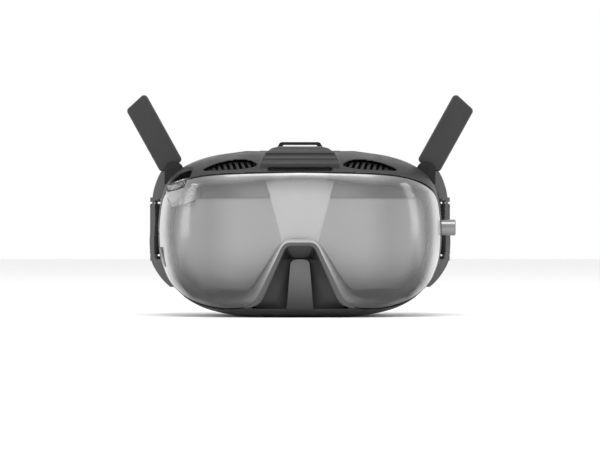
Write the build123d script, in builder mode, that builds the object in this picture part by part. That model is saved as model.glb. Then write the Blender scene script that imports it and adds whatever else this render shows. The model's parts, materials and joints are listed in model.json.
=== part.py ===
"""Video goggles for flying a drone by its camera: a one-piece tinted visor over a faceted mask,
a two-part casing, twin lenses behind one wide display, two folding flat aerials, a thumb joystick,
a side power inlet, a foam face cushion and an elastic headband held by two side yokes.

Millimetres. +Z is up, the visor looks along -Y and the wearer's face is towards +Y, so the
wearer's right hand is on the -X side. The origin is on the flat rest face under the casing.
"""

from build123d import *
import math
import os

os.makedirs("parts", exist_ok=True)

# Casing envelope. Each station is (height, half width, front reach), from rest face to crown.
BELT = 57.0
FACE_Y = 34.0
SIDE_Y = 5.0
FULLNESS = 3.1
REAR_TAPER = 0.93
STATIONS = [
    (0.0, 40.0, 40.0),
    (2.2, 53.0, 49.0),
    (6.0, 65.5, 54.0),
    (13.0, 77.0, 57.8),
    (26.0, 88.0, 60.8),
    (42.0, 92.8, 62.2),
    (BELT, 93.6, 62.5),
    (72.0, 92.4, 62.0),
    (84.0, 89.4, 60.6),
    (91.5, 85.0, 58.0),
    (97.0, 78.5, 52.5),
    (101.5, 70.0, 44.0),
    (105.5, 57.0, 32.0),
    (108.6, 36.0, 14.0),
]
TOP = STATIONS[-1][0]
WALL = 2.2
SPLIT_Z = 54.0
GAP = 0.3

# Visor, the gasket behind its edge and the mask seen through it
VISOR_WALL = 2.0
VISOR_REACH = (-75.0, -5.0)
VISOR_SIDE = [(-80.0, 110.3), (-21.5, 79.5), (-18.0, 11.5), (-80.0, -9.8)]
VISOR_CORNERS = (16.0, 8.0)
GASKET_WIDTH = 2.2
MASK_INSET = 8.0
MASK_WALL = 1.4
BAND_Z = 77.0
BAND_SINK = 2.0
PLATEAU_RISE = 1.5

# Nose cut-out in the visor, and the rim round it
NOSE_TOP = 48.4
RIM = 2.5
RECESS_BACK = -46.0

# Optics
EYE_SPACING = 64.0
EYE_Z = 58.0
LENS_R = 22.0
BARREL_R = 24.5
LENS_Y = 25.0
LENS_BULGE = 38.0
PLATE_Y = 28.5
DISPLAY_Y = -30.0
DISPLAY_W = 112.0
DISPLAY_H = 48.0

# Folding aerials
AERIAL_X = 83.0
AERIAL_Y = -6.0
AERIAL_Z = 95.5
AERIAL_TILT = 29.0
AERIAL_HALF_WIDTH = 8.25
AERIAL_ROOT = 3.0
AERIAL_TIP = 52.0
AERIAL_SLANT = 2.0
AERIAL_THICK = 6.4
PIN_R = 1.4
TROUGH_HALF = 6.0
TROUGH_Z = 86.3
TROUGH_END = 27.0

# Joystick in the notch at the wearer's upper right corner
STICK_CENTRE = (-78.2, -34.5, 86.6)
STICK_LEAN_OUT = 19.0
STICK_LEAN_FRONT = 9.0
STICK_R = 8.3
WELL_R = 10.4

# Power inlet on the wearer's left side
INLET_Y = -8.0
INLET_Z = 58.0
INLET_R = 5.3
INLET_END_X = 102.4
JACK_R = 2.75
JACK_DEPTH = 9.0

# Yokes and headband
YOKE_WALL = 3.0
YOKE_FRONT = 10.0
ROD_X = 97.2
ROD_Y = 44.0
ROD_R = 1.6
STRAP_Z = 57.0
STRAP_HALF = 17.0
STRAP_THICK = 2.2
STRAP_IN = 9.0
STRAP_SIDE = 84.0
STRAP_FOLD = 24.0
HEAD_Y = 196.0
SLIDER_AT = 46.0

YOKE_EDGE = [
    (91.2, 96.6),
    (94.0, 91.7),
    (96.0, 86.5),
    (97.4, 81.2),
    (98.2, 73.9),
    (98.9, 64.0),
    (99.3, 56.0),
    (99.8, 49.5),
    (99.6, 44.0),
    (98.7, 36.3),
    (95.8, 30.0),
    (91.6, 24.0),
    (86.0, 18.6),
]
YOKE_SCREWS = [(84.0, 94.6), (32.0, 94.2)]
PLATE_SCREWS = [(-78, 74), (78, 74), (-74, 34), (74, 34), (-32, 92), (32, 92), (-30, 16), (30, 16)]

# Face frame and cushion, curved to the brow
BROW_R = 190.0
BROW_Y = 36.0
CUSHION_THICK = 11.0
FRAME_STEP = 3.0


def save(shape, name):
    """Label one piece and write it to its own file."""
    shape.label = name
    export_step(shape, f"parts/{name}.step")


def envelope(inset=0.0):
    """The casing's outer form, lofted through its plan sections, moved inwards by inset."""
    rear = FACE_Y + (4 + inset if inset > 0 else 0)
    with BuildPart() as form:
        for z, half, front in STATIONS:
            reach = BELT if z < BELT else TOP - BELT
            height = BELT + (z - BELT) * (1 - inset / reach)
            a = half - inset
            b = front - inset + SIDE_Y
            steps = [math.radians(t) for t in (0, 7, 16, 28, 42, 56, 70, 80)]
            arc = []
            for t in steps:
                x = a * math.cos(t) ** (2 / FULLNESS)
                y = SIDE_Y - b * math.sin(t) ** (2 / FULLNESS)
                arc.append((x, y))
            curve = arc + [(0, SIDE_Y - b)] + [(-x, y) for x, y in reversed(arc)]
            with BuildSketch(Plane.XY.offset(height)):
                with BuildLine():
                    Spline(*curve, tangents=[(0, -1), (0, 1)])
                    Polyline(
                        (-a, SIDE_Y),
                        (-a * REAR_TAPER, rear),
                        (a * REAR_TAPER, rear),
                        (a, SIDE_Y),
                    )
                make_face()
        loft(ruled=True)
    return form.part


def section_at(z):
    """Half width and front reach of the casing at height z."""
    for low, high in zip(STATIONS, STATIONS[1:]):
        if low[0] <= z <= high[0]:
            t = (z - low[0]) / (high[0] - low[0])
            return low[1] + t * (high[1] - low[1]), low[2] + t * (high[2] - low[2])
    return STATIONS[-1][1:]


def side_x(y, z):
    """Half width of the casing's surface at depth y and height z, ahead of its widest line."""
    half, front = section_at(z)
    share = max(SIDE_Y - y, 0.0) / (front + SIDE_Y)
    return half * (1 - share**FULLNESS) ** (1 / FULLNESS)


def side_plane(side, y, z):
    """A plane on the casing's side, facing outwards, its local x running along Y."""
    step = 0.5
    slope_y = (side_x(y + step, z) - side_x(y - step, z)) / (2 * step)
    slope_z = (side_x(y, z + step) - side_x(y, z - step)) / (2 * step)
    normal = Vector(side, -slope_y, -slope_z).normalized()
    along = Vector(side * slope_y, 1, 0).normalized()
    return Plane(origin=(side * side_x(y, z), y, z), x_dir=along, z_dir=normal)


def front_prism(face, y_from, y_to):
    """A face drawn in the front view (x, z), run through from y_from to y_to."""
    with BuildPart() as prism:
        with BuildSketch(Plane.XZ.offset(-y_from)):
            add(face)
        extrude(amount=y_from - y_to)
    return prism.part


def block(x0, x1, y0, y1, z0, z1):
    """A plain box from one corner to the other."""
    with BuildPart() as box:
        with Locations(((x0 + x1) / 2, (y0 + y1) / 2, (z0 + z1) / 2)):
            Box(x1 - x0, y1 - y0, z1 - z0)
    return box.part


def visor_outline(grow=0.0):
    """The visor's edge seen from the front: brow line, lower edge and nose cut-out."""
    g = grow
    with BuildSketch() as face:
        with BuildLine():
            edge = Spline(
                (0, 93.4 + g),
                (46, 92.3 + g),
                (66, 90.6 + g),
                (77.5 + 0.3 * g, 87.4 + g),
                (87.4 + 0.8 * g, 81.0 + 0.8 * g),
                (94.5 + g, 70),
                (97.0 + g, 57),
                (96.0 + g, 42),
                (90.0 + g, 26 - 0.4 * g),
                (76.5 + 0.6 * g, 13.9 - 0.8 * g),
                (61 + 0.3 * g, 7.3 - g),
                (47, 5.6 - g),
                (36.5 - 0.3 * g, 6.4 - g),
                tangents=[(1, 0), (-1, 0.22)],
            )
            Spline(
                edge @ 1,
                (31.0 - 0.8 * g, 9.2 - 0.4 * g),
                (26.6 - g, 14.4),
                tangents=[(-1, 0.22), (-0.44, 1)],
            )
            Line((26.6 - g, 14.4), (12.2 - g, 44.6))
            Spline(
                (12.2 - g, 44.6),
                (9.6 - g, 47.5 - 0.7 * g),
                (6.6, NOSE_TOP - g),
                tangents=[(-0.44, 1), (-1, 0)],
            )
            Line((6.6, NOSE_TOP - g), (0, NOSE_TOP - g))
            Line((0, NOSE_TOP - g), (0, 93.4 + g))
        make_face()
        mirror(about=Plane.YZ)
    return face.sketch


def visor_space(grow=0.0):
    """The space inside the visor's edge: its front view, ended at the sides by its side view."""
    g = grow
    (front_y, top_z), (upper_y, upper_z), (lower_y, lower_z), (_, foot_z) = VISOR_SIDE
    with BuildPart() as space:
        with BuildSketch(Plane.YZ.offset(-120)) as side_view:
            with BuildLine():
                Polyline(
                    (front_y, top_z + g), (upper_y + g, upper_z + g),
                    (lower_y + g, lower_z - g), (front_y, foot_z - g),
                    close=True,
                )
            make_face()
            rear = side_view.vertices().group_by(Axis.X)
            fillet(rear[-2], VISOR_CORNERS[0])
            fillet(side_view.vertices().group_by(Axis.X)[-1], VISOR_CORNERS[1])
        extrude(amount=240)
    return front_prism(visor_outline(grow), *VISOR_REACH) & space.part


def nose_outline(inset):
    """The nose cut-out closed along the chin, moved inwards by inset."""
    k = inset * 1.12
    low = 5.6
    with BuildSketch() as face:
        with BuildLine():
            Polyline(
                (0, NOSE_TOP - inset),
                (10.2 - k, NOSE_TOP - inset),
                (31.0 - k, low),
                (0, low),
                (0, NOSE_TOP - inset),
            )
        make_face()
        mirror(about=Plane.YZ)
        fillet(face.vertices().group_by(Axis.Y)[-1], 3.0)
    return face.sketch


def nose_space(grow=0.0):
    """The room for the wearer's nose, cut into the casing from behind and below."""
    with BuildPart() as room:
        with BuildSketch(Plane.XZ.offset(-(6.0 - grow))) as shape:
            with BuildLine():
                Polyline(
                    (-21.0 - grow, -3.0),
                    (-9.0 - grow, 33.0 + grow),
                    (9.0 + grow, 33.0 + grow),
                    (21.0 + grow, -3.0),
                    close=True,
                )
            make_face()
            fillet(shape.vertices().group_by(Axis.Y)[-1], 5.0)
        extrude(amount=-60)
    return room.part


def band_outline(side, grow=0.0):
    """The sunk upper band of the mask, on one side of the central plateau."""
    g = grow
    with BuildSketch() as face:
        with BuildLine():
            Polyline(
                (side * (21.5 - g), BAND_Z - g),
                (side * (75.5 + g), BAND_Z - g),
                (side * (80.0 + g), BAND_Z + 5 - g),
                (side * (80.0 + g), 96),
                (side * (25.0 - g), 96),
                close=True,
            )
        make_face()
    return face.sketch


def plateau_outline():
    """The mask's raised middle, narrowing to the nose."""
    with BuildSketch() as face:
        with BuildLine():
            Polyline(
                (-24.0, 97.0), (24.0, 97.0), (19.0, 77.0), (10.5, 46.0), (-10.5, 46.0), (-19.0, 77.0),
                close=True,
            )
        make_face()
    return face.sketch


def face_outline(grow=0.0):
    """The outline of the face opening's frame, with its arch for the nose."""
    g = grow
    with BuildSketch() as face:
        with BuildLine():
            edge = Spline(
                (0, 101.5 + g),
                (34, 100 + g),
                (62, 92 + 0.9 * g),
                (78 + 0.9 * g, 76 + 0.4 * g),
                (82.5 + g, 56),
                (78 + 0.9 * g, 34 - 0.4 * g),
                (64 + 0.6 * g, 15 - 0.8 * g),
                (46, 6 - g),
                (33, 6.6 - g),
                (24.5 - g, 16),
                (18 - g, 31),
                (9, 42.5 - g),
                (0, 45 - g),
                tangents=[(1, 0), (-1, 0)],
            )
            Line(edge @ 1, edge @ 0)
        make_face()
        mirror(about=Plane.YZ)
    return face.sketch


def face_opening(grow=0.0):
    """The opening the wearer looks through, wider below for the cheeks and arched over the nose."""
    g = grow
    with BuildSketch() as face:
        with BuildLine():
            edge = Spline(
                (0, 87 + g),
                (34, 85.5 + g),
                (56 + 0.7 * g, 78.5 + 0.7 * g),
                (66.5 + g, 66),
                (68 + g, 54),
                (65 + g, 40),
                (56 + 0.7 * g, 27 - 0.7 * g),
                (46, 21 - g),
                (37.5 - 0.3 * g, 22 - g),
                (31.5 - g, 29.5),
                (26 - g, 39),
                (16 - 0.7 * g, 50.5 - 0.7 * g),
                (0, 55.5 - g),
                tangents=[(1, 0), (-1, 0)],
            )
            Line(edge @ 1, edge @ 0)
        make_face()
        mirror(about=Plane.YZ)
    return face.sketch


def brow_slice(face, y_front, radius_front, radius_rear):
    """A front-view face run backwards and trimmed between two upright curves round the head."""
    with BuildPart() as piece:
        with BuildSketch(Plane.XZ.offset(-y_front)):
            add(face)
        extrude(amount=-50)
        if radius_front:
            with BuildSketch(Plane.XY.offset(-5)):
                with Locations((0, BROW_Y + BROW_R)):
                    Circle(radius_front)
            extrude(amount=120, mode=Mode.INTERSECT)
        with BuildSketch(Plane.XY.offset(-5)):
            with Locations((0, BROW_Y + BROW_R)):
                Circle(radius_rear)
        extrude(amount=120, mode=Mode.SUBTRACT)
    return piece.part


def stick_plane(height=0.0):
    """A plane across the joystick's own axis, height above the middle of its cap."""
    out = math.radians(STICK_LEAN_OUT)
    front = math.radians(STICK_LEAN_FRONT)
    normal = Vector(-math.tan(out), -math.tan(front), 1).normalized()
    across = Vector(1, 0, math.tan(out)).normalized()
    base = Plane(origin=STICK_CENTRE, x_dir=across, z_dir=normal)
    return base.offset(height)


def stick_well(radius, low, high):
    """A round plug along the joystick's axis, used to cut room for it."""
    with BuildPart() as plug:
        with BuildSketch(stick_plane(low)):
            Circle(radius)
        extrude(amount=high - low)
    return plug.part


def vent_outline(side, grow=0.0):
    """The crescent vent beside the hump, seen from the front."""
    g = grow
    with BuildSketch() as face:
        with BuildLine():
            upper = Spline(
                (side * (26.8 - g), 98.2),
                (side * 31, 100.9 + g),
                (side * 40, 101.9 + g),
                (side * 51, 100.2 + g),
                (side * 60, 96.9 + g),
                (side * (65.5 + g), 94.4),
            )
            Spline(
                upper @ 1,
                (side * 57, 94.9 - g),
                (side * 46, 95.3 - g),
                (side * 35, 96.2 - g),
                upper @ 0,
            )
        make_face()
    return face.sketch


def band_recess(side):
    """The space in front of the mask's sunk band."""
    return front_prism(band_outline(side), -72, 10) - band_outside


def port_prism(grow):
    """The flat-sided plug of the port cover's outline, run through the casing's side."""
    with BuildPart() as plug:
        with BuildSketch(Plane.YZ.offset(-100)):
            with Locations((-2.0, 36.0)):
                RectangleRounded(15.0 + 2 * grow, 14.0 + 2 * grow, 2.0)
        extrude(amount=20)
    return plug.part


def paddle_plane(side, depth):
    """A plane across an aerial's thickness; local x runs outwards, local y to the tip."""
    tilt = math.radians(AERIAL_TILT)
    outwards = (side * math.cos(tilt), 0, -math.sin(tilt))
    pivot = (side * AERIAL_X, AERIAL_Y, AERIAL_Z)
    return Plane(origin=pivot, x_dir=outwards, z_dir=(0, -side, 0)).offset(depth)


def stick_cross_plane(height, start, across=False):
    """A plane square to the joystick's own x axis, or its y axis, start along that axis."""
    base = stick_plane(height)
    direction = base.y_dir if across else base.x_dir
    return Plane(origin=base.origin + direction * start, x_dir=base.z_dir, z_dir=direction)


# Shared forms
body_form = envelope()
cavity_form = envelope(WALL)
visor_inside = envelope(VISOR_WALL)
gasket_outside = envelope(VISOR_WALL + 0.1)
mask_outside = envelope(MASK_INSET)
mask_inside = envelope(MASK_INSET + MASK_WALL)
band_outside = envelope(MASK_INSET + BAND_SINK)
band_inside = envelope(MASK_INSET + BAND_SINK + MASK_WALL)
plateau_outside = envelope(MASK_INSET - PLATEAU_RISE)
nose_outside = envelope(0.25)
nose_inside = envelope(4.2)
nose_inside_shallow = envelope(1.2)
nose_inside_deep = envelope(16.0)
grille_outside = envelope(1.6)
grille_inside = envelope(3.0)
cover_inside = envelope(1.6 + 0.1)
port_hole = port_prism(0.25)
carrier_form = envelope(WALL + 0.25)
yoke_clear = envelope(-0.25)
well_deep = stick_well(WELL_R + GAP, -12.3, 30)
side_button_plane = side_plane(-1, -26, 38.8)
with BuildPart() as inlet_bore:
    with BuildSketch(Plane.YZ.offset(88.0)):
        with Locations((INLET_Y, INLET_Z)):
            Circle(INLET_R + 0.1)
    extrude(amount=16)
inlet_hole = inlet_bore.part
power_button_plane = side_plane(1, -6, 76.0)
link_button_plane = side_plane(1, -6, 38.0)

# --- visor -------------------------------------------------------------------------------------
with BuildPart() as visor:
    add(body_form)
    add(visor_inside, mode=Mode.SUBTRACT)
    add(visor_space(), mode=Mode.INTERSECT)
    add(well_deep, mode=Mode.SUBTRACT)
    with BuildSketch(side_button_plane.offset(-6)):
        SlotOverall(14.3, 6.3, rotation=90)
    extrude(amount=12, mode=Mode.SUBTRACT)
save(visor.part, "visor")

with BuildPart() as visor_gasket:
    add(gasket_outside)
    add(mask_outside, mode=Mode.SUBTRACT)
    add(visor_space(-0.4), mode=Mode.INTERSECT)
    add(visor_space(-0.4 - GASKET_WIDTH), mode=Mode.SUBTRACT)
    add(well_deep, mode=Mode.SUBTRACT)
    with BuildSketch(side_button_plane.offset(-8)):
        SlotOverall(18, 10, rotation=90)
    extrude(amount=14, mode=Mode.SUBTRACT)
    add(block(-18, 18, -75, -10, 30, 52), mode=Mode.SUBTRACT)
save(visor_gasket.part, "visor_gasket")

# --- mask behind the visor ---------------------------------------------------------------------
with BuildPart() as inner_mask:
    add(mask_outside)
    add(mask_inside, mode=Mode.SUBTRACT)
    for side in (-1, 1):
        add(front_prism(band_outline(side), -72, 10), mode=Mode.SUBTRACT)
    add((plateau_outside - mask_inside) & front_prism(plateau_outline(), -72, -30))
    for side in (-1, 1):
        add((mask_outside - band_inside) & front_prism(band_outline(side, MASK_WALL), -72, 0))
        add(band_recess(side), mode=Mode.SUBTRACT)
    add(visor_space(-2.9), mode=Mode.INTERSECT)
    add(well_deep, mode=Mode.SUBTRACT)
save(inner_mask.part, "inner_mask")

# --- nose --------------------------------------------------------------------------------------
with BuildPart() as nose_trim:
    add(nose_outside)
    add(nose_inside, mode=Mode.SUBTRACT)
    add(front_prism(nose_outline(0.55), -72, -30), mode=Mode.INTERSECT)
    add(front_prism(nose_outline(RIM), -74, -20), mode=Mode.SUBTRACT)
    add(block(-40, 40, -74, -20, -1, 8.2), mode=Mode.SUBTRACT)
save(nose_trim.part, "nose_trim")

with BuildPart() as nose_cover:
    add(front_prism(nose_outline(RIM + 0.15), RECESS_BACK, RECESS_BACK + 1.8))
    add(front_prism(nose_outline(RIM + 0.15), -72, RECESS_BACK) & (nose_inside_shallow - nose_inside_deep))
    add(front_prism(nose_outline(RIM + 1.5), -74, RECESS_BACK), mode=Mode.SUBTRACT)
    with BuildSketch(Plane.XZ.offset(-RECESS_BACK)):
        with BuildLine():
            Polyline((-8.3, 8.5), (-6.2, 36.0), (6.2, 36.0), (8.3, 8.5), close=True)
        make_face()
    extrude(amount=7.5, taper=9)
    with BuildSketch(Plane.YZ.offset(-9)):
        with BuildLine():
            Polyline((-46.5, 38.0), (-46.5, 45.4), (-53.0, 45.4), close=True)
        make_face()
    extrude(amount=18)
    add(front_prism(nose_outline(RIM + 0.15), -74, -40), mode=Mode.INTERSECT)
save(nose_cover.part, "nose_cover")

# --- casing ------------------------------------------------------------------------------------
with BuildPart() as hump:
    with BuildSketch(Plane.XZ.offset(56)):
        with BuildLine():
            Polyline(
                (-26.3, 96.9), (-25.2, 101.0), (-22.4, 106.4), (-18.6, 109.6), (-13.5, 110.9),
                (13.5, 110.9), (18.6, 109.6), (22.4, 106.4), (25.2, 101.0), (26.3, 96.9),
                close=True,
            )
        make_face()
    extrude(amount=-76)
    with BuildSketch(Plane.YZ.offset(-30)):
        with BuildLine():
            Polyline(
                (-53.6, 96.9), (-52.6, 100.0), (-46.0, 107.5), (-40.0, 110.4), (-34.0, 111.2),
                (12.0, 111.2), (18.0, 108.6), (18.0, 96.9),
                close=True,
            )
        make_face()
    extrude(amount=60, mode=Mode.INTERSECT)

with BuildPart() as inner_room:
    add(cavity_form)
    add(nose_space(WALL), mode=Mode.SUBTRACT)
    for side in (-1, 1):
        x0, x1 = sorted((side * (TROUGH_END - 1.6), side * 110))
        reach = TROUGH_HALF + 1.6
        add(block(x0, x1, AERIAL_Y - reach, AERIAL_Y + reach, TROUGH_Z - 1.6, 125), mode=Mode.SUBTRACT)

with BuildPart() as half_hump:
    add(hump.part)
    split(bisect_by=Plane.YZ, keep=Keep.TOP)

with BuildPart() as half_shell:
    add(body_form)
    split(bisect_by=Plane.YZ, keep=Keep.TOP)
    reach = TROUGH_HALF
    add(block(TROUGH_END, 99, AERIAL_Y - reach, AERIAL_Y + reach, TROUGH_Z, 120), mode=Mode.SUBTRACT)
    add(half_hump.part)
    add(inner_room.part, mode=Mode.SUBTRACT)
    add(nose_space(), mode=Mode.SUBTRACT)
    add(visor_space(GAP), mode=Mode.SUBTRACT)
    add(front_prism(nose_outline(-0.6), -75, -36), mode=Mode.SUBTRACT)

with BuildPart() as top_shell:
    add(half_shell.part)
    split(bisect_by=Plane.XY.offset(SPLIT_Z), keep=Keep.TOP)
    mirror(about=Plane.YZ)
    add(well_deep, mode=Mode.SUBTRACT)
    for side in (-1, 1):
        add(front_prism(vent_outline(side), -75, -22), mode=Mode.SUBTRACT)
    with BuildSketch(Plane.XZ.offset(60)):
        with Locations((0, 95.6)):
            SlotOverall(42, 1.8)
    extrude(amount=-9.5, mode=Mode.SUBTRACT)
    for row in range(7):
        with BuildSketch(Plane.XY.offset(100)):
            with Locations((-12 + 4 * row, 6)):
                SlotOverall(15, 1.8, rotation=90)
        extrude(amount=14, mode=Mode.SUBTRACT)
    with BuildSketch(power_button_plane.offset(-4)):
        Circle(6.3)
    extrude(amount=8, mode=Mode.SUBTRACT)
    add(inlet_hole, mode=Mode.SUBTRACT)
save(top_shell.part, "top_shell")

with BuildPart() as bottom_shell:
    add(half_shell.part)
    split(bisect_by=Plane.XY.offset(SPLIT_Z), keep=Keep.BOTTOM)
    mirror(about=Plane.YZ)
    with BuildSketch(link_button_plane.offset(-4)):
        Circle(2.8)
    extrude(amount=8, mode=Mode.SUBTRACT)
    add(inlet_hole, mode=Mode.SUBTRACT)
    add(port_hole, mode=Mode.SUBTRACT)
save(bottom_shell.part, "bottom_shell")

for side, hand in ((-1, "right"), (1, "left")):
    with BuildPart() as grille:
        add(grille_outside - grille_inside)
        add(front_prism(vent_outline(side, -0.25), -75, -22), mode=Mode.INTERSECT)
        with BuildSketch(Plane.XZ.offset(75)):
            for rank in range(8):
                with Locations((side * (31.0 + 3.9 * rank), 98.4 - 0.22 * rank)):
                    SlotOverall(6.4 - 0.45 * rank, 1.9, rotation=90 - side * 24)
        extrude(amount=-60, mode=Mode.SUBTRACT)
    save(grille.part, f"vent_grille_{hand}")

with BuildPart() as top_strap_loop:
    with BuildSketch(Plane.XZ.offset(26)) as arch:
        with BuildLine():
            Polyline(
                (-14.6, 111.0), (-13.2, 113.4), (-12.0, 113.9), (12.0, 113.9), (13.2, 113.4), (14.6, 111.0),
                (11.5, 111.0), (10.8, 112.1), (-10.8, 112.1), (-11.5, 111.0),
                close=True,
            )
        make_face()
    extrude(amount=-8)
save(top_strap_loop.part, "top_strap_loop")

# --- ports -------------------------------------------------------------------------------------
with BuildPart() as port_cover:
    add(body_form - cover_inside)
    add(port_prism(0.0), mode=Mode.INTERSECT)
save(port_cover.part, "port_cover")

with BuildPart() as port_board:
    add(block(-86.0, -84.6, -9.6, 5.6, 29.5, 42.5))
    add(block(-86.1, -84.5, -8.0, 1.3, 33.4, 37.0), mode=Mode.SUBTRACT)
    add(block(-86.1, -84.5, -7.6, 3.6, 39.0, 40.6), mode=Mode.SUBTRACT)
save(port_board.part, "port_board")

with BuildPart() as usb_c_port:
    with BuildSketch(Plane.YZ.offset(-87.6)):
        with Locations((-3.35, 35.2)):
            SlotOverall(8.9, 3.3)
            SlotOverall(8.3, 2.7, mode=Mode.SUBTRACT)
    extrude(amount=7.0)
    with BuildSketch(Plane.YZ.offset(-87.0)):
        with Locations((-3.35, 35.2)):
            Rectangle(6.6, 0.7)
    extrude(amount=6.4)
    with BuildSketch(Plane.YZ.offset(-81.2)):
        with Locations((-3.35, 35.2)):
            SlotOverall(8.9, 3.3)
    extrude(amount=0.6)
save(usb_c_port.part, "usb_c_port")

with BuildPart() as card_slot:
    with BuildSketch(Plane.YZ.offset(-87.0)):
        with Locations((-2.0, 39.8)):
            Rectangle(11.0, 1.4)
            Rectangle(10.4, 0.8, mode=Mode.SUBTRACT)
    extrude(amount=12.0)
save(card_slot.part, "card_slot")

with BuildPart() as power_inlet:
    with BuildSketch(Plane.YZ.offset(86.0)):
        with Locations((INLET_Y, INLET_Z)):
            Circle(INLET_R)
    extrude(amount=INLET_END_X - 1.6 - 86.0)
    with BuildSketch(Plane.YZ.offset(86.0)):
        with Locations((INLET_Y, INLET_Z)):
            Circle(INLET_R + 2.0)
    extrude(amount=2.0)
    with BuildSketch(Plane.YZ.offset(INLET_END_X)):
        with Locations((INLET_Y, INLET_Z)):
            Circle(JACK_R)
    extrude(amount=-JACK_DEPTH, mode=Mode.SUBTRACT)
save(power_inlet.part, "power_inlet")

with BuildPart() as inlet_ring:
    with BuildSketch(Plane.YZ.offset(INLET_END_X - 1.6)):
        with Locations((INLET_Y, INLET_Z)):
            Circle(INLET_R)
            Circle(JACK_R, mode=Mode.SUBTRACT)
    extrude(amount=1.6)
    end_circles = inlet_ring.edges().filter_by(GeomType.CIRCLE).group_by(Axis.X)[-1]
    chamfer(end_circles.sort_by(SortBy.RADIUS)[-1], 0.5)
save(inlet_ring.part, "inlet_ring")

# --- joystick ----------------------------------------------------------------------------------
with BuildPart() as joystick_base:
    with BuildSketch(stick_plane(-12.0)):
        Circle(WELL_R)
    extrude(amount=1.2)
    with BuildSketch(stick_plane(-12.0)):
        Circle(WELL_R)
        Circle(WELL_R - 0.9, mode=Mode.SUBTRACT)
    extrude(amount=10.0)
    with BuildSketch(stick_plane(-10.8)):
        with Locations((5.9, 0), (-5.9, 0)):
            Rectangle(1.6, 4.0)
    extrude(amount=5.4)
    with BuildSketch(stick_cross_plane(-7.0, -8)):
        Circle(0.75)
    extrude(amount=16, mode=Mode.SUBTRACT)
save(joystick_base.part, "joystick_base")

with BuildPart() as joystick_ring:
    with BuildSketch(stick_plane(-8.1)):
        Circle(4.7)
        Circle(3.3, mode=Mode.SUBTRACT)
    extrude(amount=2.2)
    for start in (-6.6, 4.0):
        with BuildSketch(stick_cross_plane(-7.0, start)):
            Circle(0.7)
        extrude(amount=2.6)
    with BuildSketch(stick_cross_plane(-7.0, -6, across=True)):
        Circle(0.75)
    extrude(amount=12, mode=Mode.SUBTRACT)
save(joystick_ring.part, "joystick_ring")

with BuildPart() as joystick_stem:
    with BuildSketch(stick_plane(-9.2)):
        Circle(2.0)
    extrude(amount=6.2)
    with BuildSketch(stick_plane(-3.0)):
        Circle(1.4)
    extrude(amount=2.6)
    with BuildSketch(stick_cross_plane(-7.0, -4.6, across=True)):
        Circle(0.7)
    extrude(amount=9.2)
save(joystick_stem.part, "joystick_stem")

with BuildPart() as joystick_cap:
    with BuildSketch(stick_plane(-1.6)):
        Circle(STICK_R)
        with PolarLocations(STICK_R + 0.35, 26):
            Circle(0.75, mode=Mode.SUBTRACT)
    extrude(amount=3.1)
    with BuildSketch(stick_plane(-1.7)):
        Circle(1.46)
    extrude(amount=2.2, mode=Mode.SUBTRACT)
    with BuildSketch(stick_plane(1.0)):
        Circle(5.6)
    extrude(amount=2, taper=-30, mode=Mode.SUBTRACT)
save(joystick_cap.part, "joystick_cap")

# --- buttons -----------------------------------------------------------------------------------
with BuildPart() as side_button_guide:
    with BuildSketch(side_button_plane.offset(-7.0)):
        SlotOverall(15.6, 7.6, rotation=90)
        SlotOverall(14.1, 6.1, rotation=90, mode=Mode.SUBTRACT)
    extrude(amount=3.0)
    with BuildSketch(side_button_plane.offset(-7.8)):
        SlotOverall(15.6, 7.6, rotation=90)
    extrude(amount=0.8)
save(side_button_guide.part, "side_button_guide")

with BuildPart() as side_button:
    with BuildSketch(side_button_plane.offset(-5.0)):
        SlotOverall(13.5, 5.5, rotation=90)
    extrude(amount=6.0)
    fillet(side_button.faces().sort_by(Axis((0, 0, 0), side_button_plane.z_dir))[-1].edges(), 0.6)
save(side_button.part, "side_button")

with BuildPart() as power_light_ring:
    with BuildSketch(power_button_plane.offset(-3.0)):
        Circle(6.0)
        Circle(4.9, mode=Mode.SUBTRACT)
    extrude(amount=3.2)
save(power_light_ring.part, "power_light_ring")

with BuildPart() as power_button:
    with BuildSketch(power_button_plane.offset(-3.0)):
        Circle(4.6)
    extrude(amount=3.9)
save(power_button.part, "power_button")

with BuildPart() as link_button:
    with BuildSketch(link_button_plane.offset(-3.0)):
        Circle(2.4)
    extrude(amount=3.6)
save(link_button.part, "link_button")

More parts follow.
